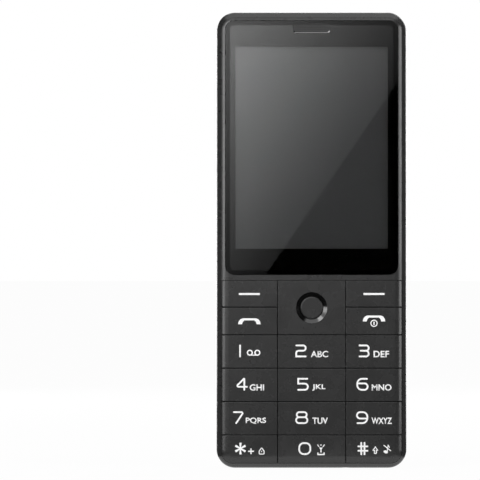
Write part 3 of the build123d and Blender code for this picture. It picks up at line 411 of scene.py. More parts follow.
def bend(points, radii, closed):
    """A path with its corners rounded; each corner has its own radius."""
    bent = []
    count = len(points)
    for i, corner in enumerate(points):
        radius = radii[i]
        if radius == 0 or (not closed and i in (0, count - 1)):
            bent.append(Vector(corner))
            continue
        corner = Vector(corner)
        to_last = Vector(points[i - 1]) - corner
        to_next = Vector(points[(i + 1) % count]) - corner
        half = to_last.angle(to_next) / 2
        if half > NEARLY_STRAIGHT:
            bent.append(corner)
            continue
        reach = min(radius / math.tan(half), 0.499 * to_last.length, 0.499 * to_next.length)
        start = corner + to_last.normalized() * reach
        end = corner + to_next.normalized() * reach
        inward = (to_last.normalized() + to_next.normalized()).normalized()
        middle = corner + inward * reach / math.cos(half)
        first = start - middle
        turn = first.angle_signed(end - middle)
        for step in range(CORNER_STEPS + 1):
            angle = -turn * step / CORNER_STEPS
            bent.append(middle + Matrix.Rotation(angle, 2) @ first)
    return bent


def ribbon(mesh, points, width, front, back, closed=False):
    """Adds a stroke of even width, with round ends, as a closed plate between two depths."""
    path = [p for i, p in enumerate(points) if i == 0 or (p - points[i - 1]).length > SAME_POINT]
    if closed and (path[0] - path[-1]).length < SAME_POINT:
        path.pop()
    count = len(path)
    sides = []
    for i, point in enumerate(path):
        before = path[i - 1] if (closed or i > 0) else point - (path[1] - point)
        after = path[(i + 1) % count] if (closed or i < count - 1) else point + (point - path[-2])
        come = (point - before).normalized()
        go = (after - point).normalized()
        normal = Vector((-(come.y + go.y), come.x + go.x)).normalized()
        stretch = 1 / max(SHARPEST_TURN, normal.dot(Vector((-go.y, go.x))))
        sides.append((point + normal * width / 2 * stretch, point - normal * width / 2 * stretch))
    if closed:
        loops = [[side[0] for side in sides], [side[1] for side in sides]]
        layers = []
        for depth in (front, back):
            layers.append([points_at(mesh, loop, depth) for loop in loops])
        for i in range(count):
            j = (i + 1) % count
            outer, inner = layers[0]
            outer_back, inner_back = layers[1]
            mesh.faces.new((outer[i], outer[j], inner[j], inner[i]))
            mesh.faces.new((inner_back[i], inner_back[j], outer_back[j], outer_back[i]))
            mesh.faces.new((outer[j], outer[i], outer_back[i], outer_back[j]))
            mesh.faces.new((inner[i], inner[j], inner_back[j], inner_back[i]))
        return
    rims = []
    for depth in (front, back):
        rims.append([points_at(mesh, side, depth) for side in sides])
    near, far = rims
    for i in range(count - 1):
        mesh.faces.new((near[i][0], near[i + 1][0], near[i + 1][1], near[i][1]))
        mesh.faces.new((far[i][1], far[i + 1][1], far[i + 1][0], far[i][0]))
        mesh.faces.new((near[i + 1][0], near[i][0], far[i][0], far[i + 1][0]))
        mesh.faces.new((near[i][1], near[i + 1][1], far[i + 1][1], far[i][1]))
    for i, direction in ((-1, path[-1] - path[-2]), (0, path[0] - path[1])):
        first, last = (0, 1) if i else (1, 0)
        round_end = cap(path[i], direction, width)
        near_end = points_at(mesh, round_end, front)
        far_end = points_at(mesh, round_end, back)
        near_run = [near[i][first]] + near_end + [near[i][last]]
        far_run = [far[i][first]] + far_end + [far[i][last]]
        mesh.faces.new(near_run)
        mesh.faces.new(list(reversed(far_run)))
        for j in range(len(near_run) - 1):
            mesh.faces.new((near_run[j + 1], near_run[j], far_run[j], far_run[j + 1]))


def cap(point, direction, width):
    """Points of the half circle that rounds a stroke's end, without its two ends."""
    along = direction.normalized()
    across = Vector((-along.y, along.x))
    return [
        point
        + across * width / 2 * math.cos(math.pi * step / CAP_STEPS)
        + along * width / 2 * math.sin(math.pi * step / CAP_STEPS)
        for step in range(1, CAP_STEPS)
    ]


def plate(mesh, outline, front, back):
    """Adds a flat closed plate with the given outline between two depths."""
    near = points_at(mesh, outline, front)
    far = points_at(mesh, outline, back)
    mesh.faces.new(near)
    mesh.faces.new(list(reversed(far)))
    for i in range(len(near)):
        j = (i + 1) % len(near)
        mesh.faces.new((near[j], near[i], far[i], far[j]))


def rounded_box(width, height, radius, centre=(0, 0)):
    """Outline of a rectangle with round corners."""
    x, z = width / 2, height / 2
    corners = [(-x, -z), (x, -z), (x, z), (-x, z)]
    moved = [(centre[0] + a, centre[1] + b) for a, b in corners]
    return bend(moved, [radius] * 4, True)


def turned(name, profile, centre, segments=48, smooth=True):
    """A closed turned body round a line along Y; its profile is a list of radius and depth."""
    mesh = bmesh.new()
    rings = []
    for radius, depth in profile:
        if radius == 0:
            rings.append([mesh.verts.new((centre[0], depth, centre[1]))])
            continue
        ring = []
        for step in range(segments):
            angle = math.tau * step / segments
            x = centre[0] + radius * math.cos(angle)
            z = centre[1] + radius * math.sin(angle)
            ring.append(mesh.verts.new((x, depth, z)))
        rings.append(ring)
    for first, second in zip(rings, rings[1:]):
        for i in range(segments):
            j = (i + 1) % segments
            corners = [first[i % len(first)], first[j % len(first)]]
            corners += [second[j % len(second)], second[i % len(second)]]
            face = []
            for vert in corners:
                if vert not in face:
                    face.append(vert)
            if len(face) > 2:
                mesh.faces.new(face)
    bmesh.ops.remove_doubles(mesh, verts=mesh.verts, dist=SAME_POINT)
    made = save_mesh(name, mesh)
    for face in made.polygons:
        face.use_smooth = smooth
    return made


# Legends on the keys: the standard digits, letters and signs of a telephone keypad.
# Each sign is drawn in a box of its own; points are shares of the box, from its lower left.

INK_THICKNESS = 0.02 * MM
INK_LIFT = 0.002 * MM
DIGIT_HEIGHT = 3.58 * MM
LEGEND_RISE = 0.19 * MM
DIGIT_STROKE = 0.48 * MM
LETTER_HEIGHT = 1.83 * MM
LETTER_DROP = -0.89 * MM
LETTER_WEIGHT = 0.026
LETTER_SPACING = 1.02
HANDSET_CORNER = 0.1 * MM
STAR_CORNER = 0.15 * MM
SIGN_STROKE = 0.36 * MM
FINE_STROKE = 0.27 * MM

# Strokes of each digit: points, corner radii as shares of the height, and whether it closes
digit_shares = {
    "0": [([(0, 0), (1, 0), (1, 1), (0, 1)], [0.36] * 4, True)],
    "1": [([(0.5, 0), (0.5, 1)], [0, 0], False)],
    "2": [([(0, 1), (1, 1), (1, 0.52), (0, 0.52), (0, 0), (1, 0)], [0, 0.24, 0.24, 0.2, 0, 0], False)],
    "3": [
        ([(0, 1), (1, 1), (1, 0.52), (0.12, 0.52)], [0, 0.24, 0.24, 0], False),
        ([(0.12, 0.52), (1, 0.52), (1, 0), (0, 0)], [0, 0.26, 0.26, 0], False),
    ],
    "4": [
        ([(0.76, 0), (0.76, 1)], [0, 0], False),
        ([(0.72, 1), (0, 0.27), (1, 0.27)], [0, 0.09, 0], False),
    ],
    "5": [([(0.94, 1), (0, 1), (0, 0.56), (1, 0.56), (1, 0), (0, 0)], [0, 0, 0, 0.28, 0.28, 0], False)],
    "6": [
        (
            [(0.94, 1), (0, 1), (0, 0), (1, 0), (1, 0.58), (0.15, 0.58)],
            [0, 0.46, 0.36, 0.29, 0.29, 0],
            False,
        ),
        ([(0.15, 0.58), (0.02, 0.58)], [0, 0], False),
    ],
    "7": [([(0, 1), (1, 1), (0.24, 0)], [0, 0.09, 0], False)],
    "8": [
        ([(0.06, 0.54), (0.94, 0.54), (0.94, 1), (0.06, 1)], [0.23] * 4, True),
        ([(0, 0), (1, 0), (1, 0.54), (0, 0.54)], [0.27] * 4, True),
    ],
    "9": [
        (
            [(0.04, 0), (1, 0), (1, 1), (0, 1), (0, 0.42), (0.85, 0.42)],
            [0, 0.46, 0.36, 0.29, 0.29, 0],
            False,
        ),
        ([(0.85, 0.42), (0.98, 0.42)], [0, 0], False),
    ],
    "hash": [
        ([(0.32, -0.02), (0.32, 1.02)], [0, 0], False),
        ([(0.68, -0.02), (0.68, 1.02)], [0, 0], False),
        ([(0, 0.3), (1, 0.3)], [0, 0], False),
        ([(0, 0.7), (1, 0.7)], [0, 0], False),
    ],
    "plus": [
        ([(0.5, 0), (0.5, 1)], [0, 0], False),
        ([(0, 0.5), (1, 0.5)], [0, 0], False),
    ],
    "arrow": [
        (
            [(0.3, 0), (0.7, 0), (0.7, 0.5), (1, 0.5), (0.5, 1), (0, 0.5), (0.3, 0.5)],
            [0.08, 0.08, 0, 0, 0, 0, 0],
            True,
        )
    ],
    "padlock": [
        ([(0, 0), (1, 0), (1, 0.45), (0.5, 1), (0, 0.45)], [0.08, 0.08, 0.12, 0.1, 0.12], True),
        ([(0.5, 0.36), (0.5, 0.44)], [0, 0], False),
    ],
    "mute": [
        ([(0.02, 0.96), (1, 0.28)], [0, 0], False),
        ([(0.5, 0.2), (0.62, 1), (0.8, 0.72)], [0, 0, 0], False),
    ],
}

# Half outline of a lying handset, and a wedge of the star, as shares of their boxes
handset_half_shares = [(0.5, 0), (0.48, 0.43), (0.40, 0.84), (0.30, 1), (0, 1)]
handset_inner_shares = [(0, 0.65), (0.22, 0.65), (0.29, 0.38), (0.325, 0)]
STAR_ARMS = 6
star_root_share = 0.05
star_tip_share = 0.105


def print_stroke(mesh, path, width, order=0, closed=False):
    """Prints a stroke on a key's face; a sign's later strokes lie a little higher."""
    ribbon(mesh, path, width, FACE_Y - INK_THICKNESS - order * INK_LIFT, FACE_Y - INK_LIFT, closed)


def print_shape(mesh, outline, order=0):
    """Prints a filled shape on a key's face."""
    plate(mesh, outline, FACE_Y - INK_THICKNESS - order * INK_LIFT, FACE_Y - INK_LIFT)


def circle(centre, width, height, steps, tilt=0.0):
    """Points round an oval."""
    turn = Matrix.Rotation(tilt, 2)
    angles = (math.tau * step / steps for step in range(steps))
    return [
        Vector(centre) + turn @ Vector((math.cos(a) * width / 2, math.sin(a) * height / 2))
        for a in angles
    ]


def draw_strokes(mesh, name, centre, size, width):
    """Draws a sign's strokes in a box of the given size round a centre."""
    inner = (size[0] - width, size[1] - width)
    low = (centre[0] - inner[0] / 2, centre[1] - inner[1] / 2)
    for order, (points, radii, closed) in enumerate(digit_shares[name]):
        placed = [(low[0] + p[0] * inner[0], low[1] + p[1] * inner[1]) for p in points]
        path = bend(placed, [radius * size[1] for radius in radii], closed)
        print_stroke(mesh, path, width, order, closed)


def draw_handset(mesh, centre, size):
    """A lying handset, its ends down."""
    right = handset_half_shares
    left = [(-p[0], p[1]) for p in reversed(handset_half_shares[:-1])]
    inner_left = [(-p[0], p[1]) for p in reversed(handset_inner_shares)]
    shares = right + left + inner_left + handset_inner_shares[1:]
    outline = [(centre[0] + x * size[0], centre[1] + (z - 0.5) * size[1]) for x, z in shares]
    radii = [HANDSET_CORNER if 0 < i < len(outline) else 0 for i in range(len(outline))]
    print_shape(mesh, bend(outline, radii, True))


def draw_star(mesh, centre, size):
    for arm in range(STAR_ARMS):
        angle = math.tau * arm / STAR_ARMS + math.pi / 2
        along = Vector((math.cos(angle), math.sin(angle)))
        across = Vector((-along.y, along.x))
        middle = Vector(centre)
        tip = middle + along * size / 2
        outline = [
            middle - across * size * star_root_share,
            middle + across * size * star_root_share,
            tip + across * size * star_tip_share,
            tip - across * size * star_tip_share,
        ]
        print_shape(mesh, bend(outline, [0, 0, STAR_CORNER, STAR_CORNER], True), arm)


def draw_ring(mesh, centre, radius, width):
    print_stroke(mesh, circle(centre, 2 * radius, 2 * radius, 28), width, closed=True)


def draw_line(mesh, start, end, width, order=0):
    print_stroke(mesh, [Vector(start), Vector(end)], width, order)


def draw_dot(mesh, centre, width, height, tilt=0.0, order=0):
    """A filled oval."""
    print_shape(mesh, circle(centre, width, height, 20, tilt), order)


def draw_letters(mesh, text, centre, width):
    """Sets a group of letters, fitted to a width and the letters' height."""
    curve = bpy.data.curves.new("letters", "FONT")
    curve.body = text
    curve.offset = LETTER_WEIGHT
    curve.space_character = LETTER_SPACING
    flat = plain_mesh(bpy.data.objects.new("letters", curve))
    letters = bmesh.new()
    letters.from_mesh(flat)
    bmesh.ops.remove_doubles(letters, verts=letters.verts, dist=1e-5)
    low = Vector((min(v.co.x for v in letters.verts), min(v.co.y for v in letters.verts)))
    high = Vector((max(v.co.x for v in letters.verts), max(v.co.y for v in letters.verts)))
    middle = (low + high) / 2
    stretch = Vector((width / (high.x - low.x), LETTER_HEIGHT / (high.y - low.y)))
    for vert in letters.verts:
        x = centre[0] + (vert.co.x - middle.x) * stretch.x
        z = centre[1] + (vert.co.y - middle.y) * stretch.y
        vert.co = (x, FACE_Y - INK_LIFT, z)
    raised = bmesh.ops.extrude_face_region(letters, geom=list(letters.faces))
    for item in raised["geom"]:
        if isinstance(item, bmesh.types.BMVert):
            item.co.y = FACE_Y - INK_THICKNESS
    solid = bpy.data.meshes.new("letters")
    letters.to_mesh(solid)
    letters.free()
    mesh.from_mesh(solid)
    bpy.data.meshes.remove(solid)
    bpy.data.meshes.remove(flat)


def draw_voicemail(mesh, centre):
    radius = 0.68 * MM
    apart = 1.06 * MM
    for side in (-1, 1):
        draw_ring(mesh, (centre[0] + side * apart, centre[1]), radius, SIGN_STROKE)
    foot = centre[1] - radius
    draw_line(mesh, (centre[0] - apart, foot), (centre[0] + apart, foot), SIGN_STROKE * 0.8, 1)


def draw_torch_sign(mesh, centre):
    """A hand torch on its charger, with three rays."""
    x, z = centre
    head = [(-0.52, 0.55), (-0.16, 0.05), (-0.16, -0.85), (0.16, -0.85), (0.16, 0.05), (0.52, 0.55)]
    print_shape(mesh, [(x + a * MM, z + b * MM) for a, b in head])
    tray = [(-0.88, -1.0), (-0.88, -1.42), (0.88, -1.42), (0.88, -1.0)]
    path = [Vector((x + a * MM, z + b * MM)) for a, b in tray]
    print_stroke(mesh, path, SIGN_STROKE)
    for side in (-1, 1):
        start = (x + side * 0.62 * MM, z + 0.85 * MM)
        end = (x + side * 0.95 * MM, z + 1.3 * MM)
        draw_line(mesh, start, end, FINE_STROKE)
    draw_dot(mesh, (x, z + 1.25 * MM), 0.4 * MM, 0.4 * MM)


# Each key's digit with its width and its place from the middle, and its letters likewise, in mm
digit_legends = {
    "key_1": ("1", 0.65, -2.62, None, 0, 0),
    "key_2": ("2", 3.15, -3.02, "ABC", 4.95, 2.19),
    "key_3": ("3", 3.05, -2.78, "DEF", 4.4, 2.06),
    "key_4": ("4", 3.6, -2.24, "GHI", 4.05, 2.13),
    "key_5": ("5", 3.2, -2.44, "JKL", 3.8, 2.03),
    "key_6": ("6", 3.4, -3.26, "MNO", 5.6, 2.14),
    "key_7": ("7", 3.2, -3.0, "PQRS", 5.75, 1.84),
    "key_8": ("8", 3.65, -2.8, "TUV", 4.4, 2.38),
    "key_9": ("9", 3.4, -3.34, "WXYZ", 5.75, 2.18),
    "key_0": ("0", 3.6, -1.95, None, 0, 0),
    "key_hash": ("hash", 3.05, -3.14, None, 0, 0),
}


def key_middle(key):
    low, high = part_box(key)
    return (low.x + high.x) / 2, (low.z + high.z) / 2


def save_legend(mesh, key):
    name = "legend_" + key
    finish_piece(name, save_mesh(name, mesh), legend_ink, key)


def make_digit_legend(key):
    digit, width, shift, letters, letters_width, letters_shift = digit_legends[key]
    x, z = key_middle(key)
    z += LEGEND_RISE
    mesh = bmesh.new()
    draw_strokes(mesh, digit, (x + shift * MM, z), (width * MM, DIGIT_HEIGHT), DIGIT_STROKE)
    if letters:
        draw_letters(mesh, letters, (x + letters_shift * MM, z + LETTER_DROP), letters_width * MM)
    if key == "key_1":
        draw_voicemail(mesh, (x + 1.2 * MM, z - 0.5 * MM))
    if key == "key_0":
        draw_torch_sign(mesh, (x + 2.62 * MM, z - 0.25 * MM))
    if key == "key_hash":
        draw_strokes(mesh, "arrow", (x + 0.38 * MM, z - 0.46 * MM), (1.6 * MM, 2.1 * MM), FINE_STROKE)
        note = (x + 3.73 * MM, z - 0.12 * MM)
        draw_strokes(mesh, "mute", note, (2.2 * MM, 2.5 * MM), FINE_STROKE)
        draw_dot(mesh, (note[0] - 0.42 * MM, note[1] - 0.82 * MM), 1.25 * MM, 0.85 * MM, -0.35, 3)
    save_legend(mesh, key)


for key in digit_legends:
    make_digit_legend(key)

star_mesh = bmesh.new()
star_x, star_z = key_middle("key_star")
star_z += LEGEND_RISE
draw_star(star_mesh, (star_x - 2.51 * MM, star_z), 3.34 * MM)
plus_place = (star_x + 0.45 * MM, star_z - 0.76 * MM)
draw_strokes(star_mesh, "plus", plus_place, (1.75 * MM, 1.7 * MM), SIGN_STROKE)
padlock_place = (star_x + 3.46 * MM, star_z - 0.63 * MM)
draw_strokes(star_mesh, "padlock", padlock_place, (1.65 * MM, 2.1 * MM), FINE_STROKE)
save_legend(star_mesh, "key_star")

HANDSET_SIZE = (6.35 * MM, 1.68 * MM)
call_mesh = bmesh.new()
call_x, call_z = key_middle("key_call")
draw_handset(call_mesh, (call_x, call_z - 0.05 * MM), HANDSET_SIZE)
save_legend(call_mesh, "key_call")

end_mesh = bmesh.new()
end_x, end_z = key_middle("key_end")
draw_handset(end_mesh, (end_x, end_z + 0.73 * MM), HANDSET_SIZE)
power = (end_x, end_z - 0.62 * MM)
draw_ring(end_mesh, power, 0.88 * MM, FINE_STROKE)
draw_line(end_mesh, (power[0], power[1] - 0.3 * MM), (power[0], power[1] + 0.3 * MM), SIGN_STROKE)
save_legend(end_mesh, "key_end")

BAR_SIZE = (5.95 * MM, 0.56 * MM)
for key in ("key_soft_left", "key_soft_right"):
    bar_mesh = bmesh.new()
    bar_x, bar_z = key_middle(key)
    outline = rounded_box(*BAR_SIZE, 0.12 * MM, (bar_x, bar_z - 0.08 * MM))
    print_shape(bar_mesh, outline)
    save_legend(bar_mesh, key)


# Black border printed on the back of the display window, open over the picture area

PICTURE_WIDTH = 42.95 * MM
PICTURE_HEIGHT = 56.95 * MM
PICTURE_CENTRE_Z = 90.36 * MM
PRINT_THICKNESS = 0.01 * MM
PRINT_INSET = 0.12 * MM
WINDOW_CORNER = 2.6 * MM
EARPIECE_SIZE = (10.4 * MM, 2.9 * MM)
EARPIECE_Z = 124.05 * MM


def make_border_print():
    """A printed film with two openings: the picture area and the earpiece."""
    width = WINDOW_HIGH.x - WINDOW_LOW.x - 2 * PRINT_INSET
    height = WINDOW_HIGH.z - WINDOW_LOW.z - 2 * PRINT_INSET
    middle = (WINDOW_LOW.z + WINDOW_HIGH.z) / 2
    curve = bpy.data.curves.new("border", "CURVE")
    curve.dimensions = "2D"
    curve.fill_mode = "BOTH"
    curve.extrude = PRINT_THICKNESS / 2
    outlines = [
        rounded_box(width, height, WINDOW_CORNER - PRINT_INSET, (0, middle)),
        rounded_box(PICTURE_WIDTH, PICTURE_HEIGHT, 0.1 * MM, (0, PICTURE_CENTRE_Z)),
        rounded_box(EARPIECE_SIZE[0], EARPIECE_SIZE[1], 0.8 * MM, (0, EARPIECE_Z)),
    ]
    for outline in outlines:
        spline = curve.splines.new("POLY")
        spline.points.add(len(outline) - 1)
        for point, place in zip(spline.points, outline):
            point.co = (place.x, place.y, 0, 1)
        spline.use_cyclic_u = True
    flat = plain_mesh(bpy.data.objects.new("border", curve))
    upright = Matrix.Translation((0, WINDOW_HIGH.y + PRINT_THICKNESS / 2 + INK_LIFT, 0))
    flat.transform(upright @ Matrix.Rotation(math.pi / 2, 4, "X"))
    finish_piece("window_border_print", flat, border_ink, "root")


make_border_print()


# Earpiece: a polished lip along the slot's foot and lower corners, its inner edge cut at a slant

LIP_GAP = 0.05 * MM
LIP_WIDTH = 0.32 * MM
LIP_DEPTH = 0.12 * MM
LIP_CORNER = 0.75 * MM


def make_earpiece_lip():
    outer = (EARPIECE_SIZE[0] - 2 * LIP_GAP, EARPIECE_SIZE[1] - 2 * LIP_GAP)
    rings = []
    mesh = bmesh.new()
    lip_back = WINDOW_LOW.y + LIP_DEPTH
    for inset, depth in ((0, WINDOW_LOW.y), (0, lip_back), (1, lip_back)):
        shrink = 2 * inset * LIP_WIDTH
        centre = (0, EARPIECE_Z)
        radius = LIP_CORNER - inset * LIP_WIDTH
        outline = rounded_box(outer[0] - shrink, outer[1] - shrink, radius, centre)
        lower = outline[:len(outline) // 2]
        rings.append(points_at(mesh, lower, depth))
    for near, far in ((rings[0], rings[1]), (rings[1], rings[2]), (rings[2], rings[0])):
        for i in range(len(near) - 1):
            mesh.faces.new((near[i], near[i + 1], far[i + 1], far[i]))
    for end in (0, -1):
        mesh.faces.new([ring[end] for ring in rings])
    finish_piece("earpiece_lip", save_mesh("earpiece_lip", mesh), lip_plastic, "root")
    repaint("earpiece_mesh", painted_mesh)


make_earpiece_lip()


# Navigation pad: a polished ring set into the dish round the centre button

pad_low, pad_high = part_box("nav_center_button")
ring_centre = ((pad_low.x + pad_high.x) / 2, (pad_low.z + pad_high.z) / 2)
RING_INNER = 3.2 * MM
RING_OUTER = 4.38 * MM
RING_INNER_DEPTH = 0.50 * MM
RING_OUTER_DEPTH = 0.015 * MM
RING_SINK = 0.08 * MM

ring_profile = [
    (RING_INNER, FACE_Y + RING_INNER_DEPTH + RING_SINK),
    (RING_INNER, FACE_Y + RING_INNER_DEPTH),
    (RING_OUTER, FACE_Y + RING_OUTER_DEPTH),
    (RING_OUTER, FACE_Y + RING_OUTER_DEPTH + RING_SINK),
    (RING_INNER, FACE_Y + RING_INNER_DEPTH + RING_SINK),
]
ring_mesh = turned("nav_ring", ring_profile, ring_centre, 96, False)
finish_piece("nav_ring", ring_mesh, ring_lacquer, "nav_pad")


# Camera: its block and stepped barrel, and the coated lens at the bottom of the barrel

module_low, module_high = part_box("camera_module")
camera_x = (module_low.x + module_high.x) / 2
camera_z = (module_low.z + module_high.z) / 2
BLOCK_HEIGHT = 3.6 * MM
BARREL_RADIUS = 3.0 * MM
RIM_RADIUS = 1.95 * MM
STEP_RADIUS = 1.35 * MM
LENS_RADIUS = 0.95 * MM
STEP_DEPTH = 0.35 * MM
LENS_DEPTH = 0.75 * MM
DOME_RADIUS = 1.15 * LENS_RADIUS
DOME_HEIGHT = 0.72 * LENS_DEPTH
DOME_STEPS = 8
BARREL_CHAMFER = 0.15 * MM
BLOCK_CORNER = 0.4 * MM
block_top = module_low.y + BLOCK_HEIGHT

barrel = turned(
    "camera_barrel",
    [
        (0, block_top),
        (BARREL_RADIUS, block_top),
        (BARREL_RADIUS, module_high.y - BARREL_CHAMFER),
        (BARREL_RADIUS - BARREL_CHAMFER, module_high.y),
        (RIM_RADIUS, module_high.y),
        (RIM_RADIUS - 0.1 * MM, module_high.y - STEP_DEPTH),
        (STEP_RADIUS + 0.12 * MM, module_high.y - STEP_DEPTH),
        (STEP_RADIUS, module_high.y - LENS_DEPTH),
        (0, module_high.y - LENS_DEPTH),
    ],
    (camera_x, camera_z),
    smooth=False,
)
finish_piece("camera_barrel", barrel, finishes["black_plastic"], "root")

block = bmesh.new()
side = module_high.x - module_low.x
plate(block, rounded_box(side, side, BLOCK_CORNER, (camera_x, camera_z)), module_low.y, block_top)
block_mesh = save_mesh("camera_block", block)
black = finishes["black_plastic"]
block_piece = finish_piece("camera_block", block_mesh, black, "root")
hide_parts("camera_module")

dome_foot = module_high.y - LENS_DEPTH
dome_profile = [(0, dome_foot)]
for step in range(DOME_STEPS):
    angle = math.pi / 2 * step / DOME_STEPS
    dome_profile.append((DOME_RADIUS * math.cos(angle), dome_foot + DOME_HEIGHT * math.sin(angle)))
dome_profile.append((0, dome_foot + DOME_HEIGHT))
lens_mesh = turned("camera_inner_lens", dome_profile, (camera_x, camera_z))
finish_piece("camera_inner_lens", lens_mesh, lens_coat_painted_sheen, "root")

RING_PRINT_RADIUS = 2.26 * MM
RING_PRINT_WIDTH = 0.14 * MM
RING_PRINT_THICKNESS = 0.012 * MM
print_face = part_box("camera_window")[1].y
print_top = print_face + RING_PRINT_THICKNESS
print_inner = RING_PRINT_RADIUS - RING_PRINT_WIDTH / 2
print_outer = RING_PRINT_RADIUS + RING_PRINT_WIDTH / 2
print_profile = [
    (print_inner, print_face),
    (print_inner, print_top),
    (print_outer, print_top),
    (print_outer, print_face),
    (print_inner, print_face),
]
ring_print = turned("camera_ring_print", print_profile, (camera_x, camera_z), 96, False)
finish_piece("camera_ring_print", ring_print, ring_ink, "root")

# The lens cover over the barrel is clear glass, so the barrel shows
repaint("camera_lens", finishes["window_glass"])


# Woven screen behind the loudspeaker slots: wires across wires, made by a node tree


WIRE_SPACING = 0.42 * MM
WIRE_RADIUS = 0.037 * MM


def woven_screen_tree():
    """Two layers of straight wires at a spacing, square to each other."""
    tree = bpy.data.node_groups.new("woven_screen", "GeometryNodeTree")
    for name, kind in (
        ("Width", "NodeSocketFloat"),
        ("Height", "NodeSocketFloat"),
        ("Spacing", "NodeSocketFloat"),
        ("Wire Radius", "NodeSocketFloat"),
        ("Finish", "NodeSocketMaterial"),
    ):
        tree.interface.new_socket(name=name, in_out="INPUT", socket_type=kind)
    tree.interface.new_socket(name="Geometry", in_out="OUTPUT", socket_type="NodeSocketGeometry")
    given = add_node(tree, "NodeGroupInput").outputs
    layers = []
    directions = (("Height", "Width", 0.0, 1.0), ("Width", "Height", math.pi / 2, -1.0))
    for length, across, turn, lift in directions:
        count = calculate(tree, "DIVIDE", given[across], given["Spacing"])
        start = calculate(tree, "MULTIPLY", given[across], -0.5)
        depth = calculate(tree, "MULTIPLY", given["Wire Radius"], lift)
        along = "X" if turn == 0 else "Z"
        origin = add_node(tree, "ShaderNodeCombineXYZ", links={along: start, "Y": depth})
        step = add_node(tree, "ShaderNodeCombineXYZ", links={along: given["Spacing"]})
        line = {"Count": count, "Start Location": origin.outputs[0], "Offset": step.outputs[0]}
        row = add_node(tree, "GeometryNodeMeshLine", {"mode": "OFFSET"}, line).outputs["Mesh"]
        rod = {"Vertices": 6, "Radius": given["Wire Radius"], "Depth": given[length]}
        wire = add_node(tree, "GeometryNodeMeshCylinder", links=rod).outputs["Mesh"]
        layer = {"Points": row, "Instance": wire, "Rotation": (0.0, turn, 0.0)}
        placed = add_node(tree, "GeometryNodeInstanceOnPoints", links=layer)
        layers.append(placed.outputs["Instances"])
    joined = add_node(tree, "GeometryNodeJoinGeometry")
    for layer in layers:
        tree.links.new(layer, joined.inputs["Geometry"])
    solid = add_node(tree, "GeometryNodeRealizeInstances", links={"Geometry": joined.outputs[0]})
    coat = {"Geometry": solid.outputs["Geometry"], "Material": given["Finish"]}
    painted = add_node(tree, "GeometryNodeSetMaterial", links=coat)
    add_node(tree, "NodeGroupOutput", links={"Geometry": painted.outputs["Geometry"]})
    return tree


def make_speaker_screen():
    low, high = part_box("speaker_mesh")
    tree = woven_screen_tree()
    holder = bpy.data.objects.new("screen_maker", bpy.data.meshes.new("screen_maker"))
    modifier = holder.modifiers.new("weave", "NODES")
    modifier.node_group = tree
    values = {
        "Width": high.x - low.x,
        "Height": high.z - low.z,
        "Spacing": WIRE_SPACING,
        "Wire Radius": WIRE_RADIUS,
        "Finish": finishes["steel_mesh"],
    }
    for item in tree.interface.items_tree:
        if item.item_type == "SOCKET" and item.in_out == "INPUT":
            modifier[item.identifier] = values[item.name]
    made = plain_mesh(holder)
    made.transform(Matrix.Translation((low + high) / 2))
    piece = finish_piece("speaker_screen", made, finishes["steel_mesh"], "root")
    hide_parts("speaker_mesh")


make_speaker_screen()


# Floor, light and reflections

WHITE = (1.0, 1.0, 1.0, 1.0)
AMBIENT = 0.42
FLOOR_SIDE = 6.0
FLOOR_WHITE_SHARE = 0.96
CARD_FALL = 2.2
CLOTH_RISE = 1 * MM
CLOTH_SEGMENTS = 48


def seen_directly(tree):
    """1 for rays that show the background itself, in the picture or in glass and metal."""
    path = add_node(tree, "ShaderNodeLightPath").outputs
    first = calculate(tree, "MAXIMUM", path["Is Camera Ray"], path["Is Glossy Ray"])
    return calculate(tree, "MAXIMUM", first, path["Is Transmission Ray"])


def make_world():
    world = bpy.data.worlds.new("studio")
    world.use_nodes = True
    tree = world.node_tree
    tree.nodes.clear()
    strength = map_range(tree, seen_directly(tree), 0.0, 1.0, AMBIENT, 1.0)
    light = add_node(tree, "ShaderNodeBackground", links={"Color": WHITE, "Strength": strength})
    add_node(tree, "ShaderNodeOutputWorld", links={"Surface": light.outputs["Background"]})
    bpy.context.scene.world = world


def make_floor():
    mesh = bpy.data.meshes.new("floor")
    corners = [(x * FLOOR_SIDE, y * FLOOR_SIDE, 0) for x, y in ((-1, -1), (1, -1), (1, 1), (-1, 1))]
    mesh.from_pydata(corners, [], [(0, 1, 2, 3)])
    made, tree = empty_material("white_floor")
    matt = add_node(tree, "ShaderNodeBsdfDiffuse", links={"Color": colour("F2F2F2")})
    white = add_node(tree, "ShaderNodeEmission", links={"Color": WHITE, "Strength": 1.0})
    share = calculate(tree, "MULTIPLY", seen_directly(tree), FLOOR_WHITE_SHARE)
    parts = {"Fac": share, 1: matt.outputs[0], 2: white.outputs[0]}
    mix = add_node(tree, "ShaderNodeMixShader", links=parts)
    add_node(tree, "ShaderNodeOutputMaterial", links={"Surface": mix.outputs[0]})
    mesh.materials.append(made)
    floor = bpy.data.objects.new("floor", mesh)
    show(floor)


def only_reflected(card):
    """A stage object that only reflections show."""
    show(card)
    card.visible_camera = False
    card.visible_diffuse = False
    card.visible_shadow = False
    card.visible_volume_scatter = False


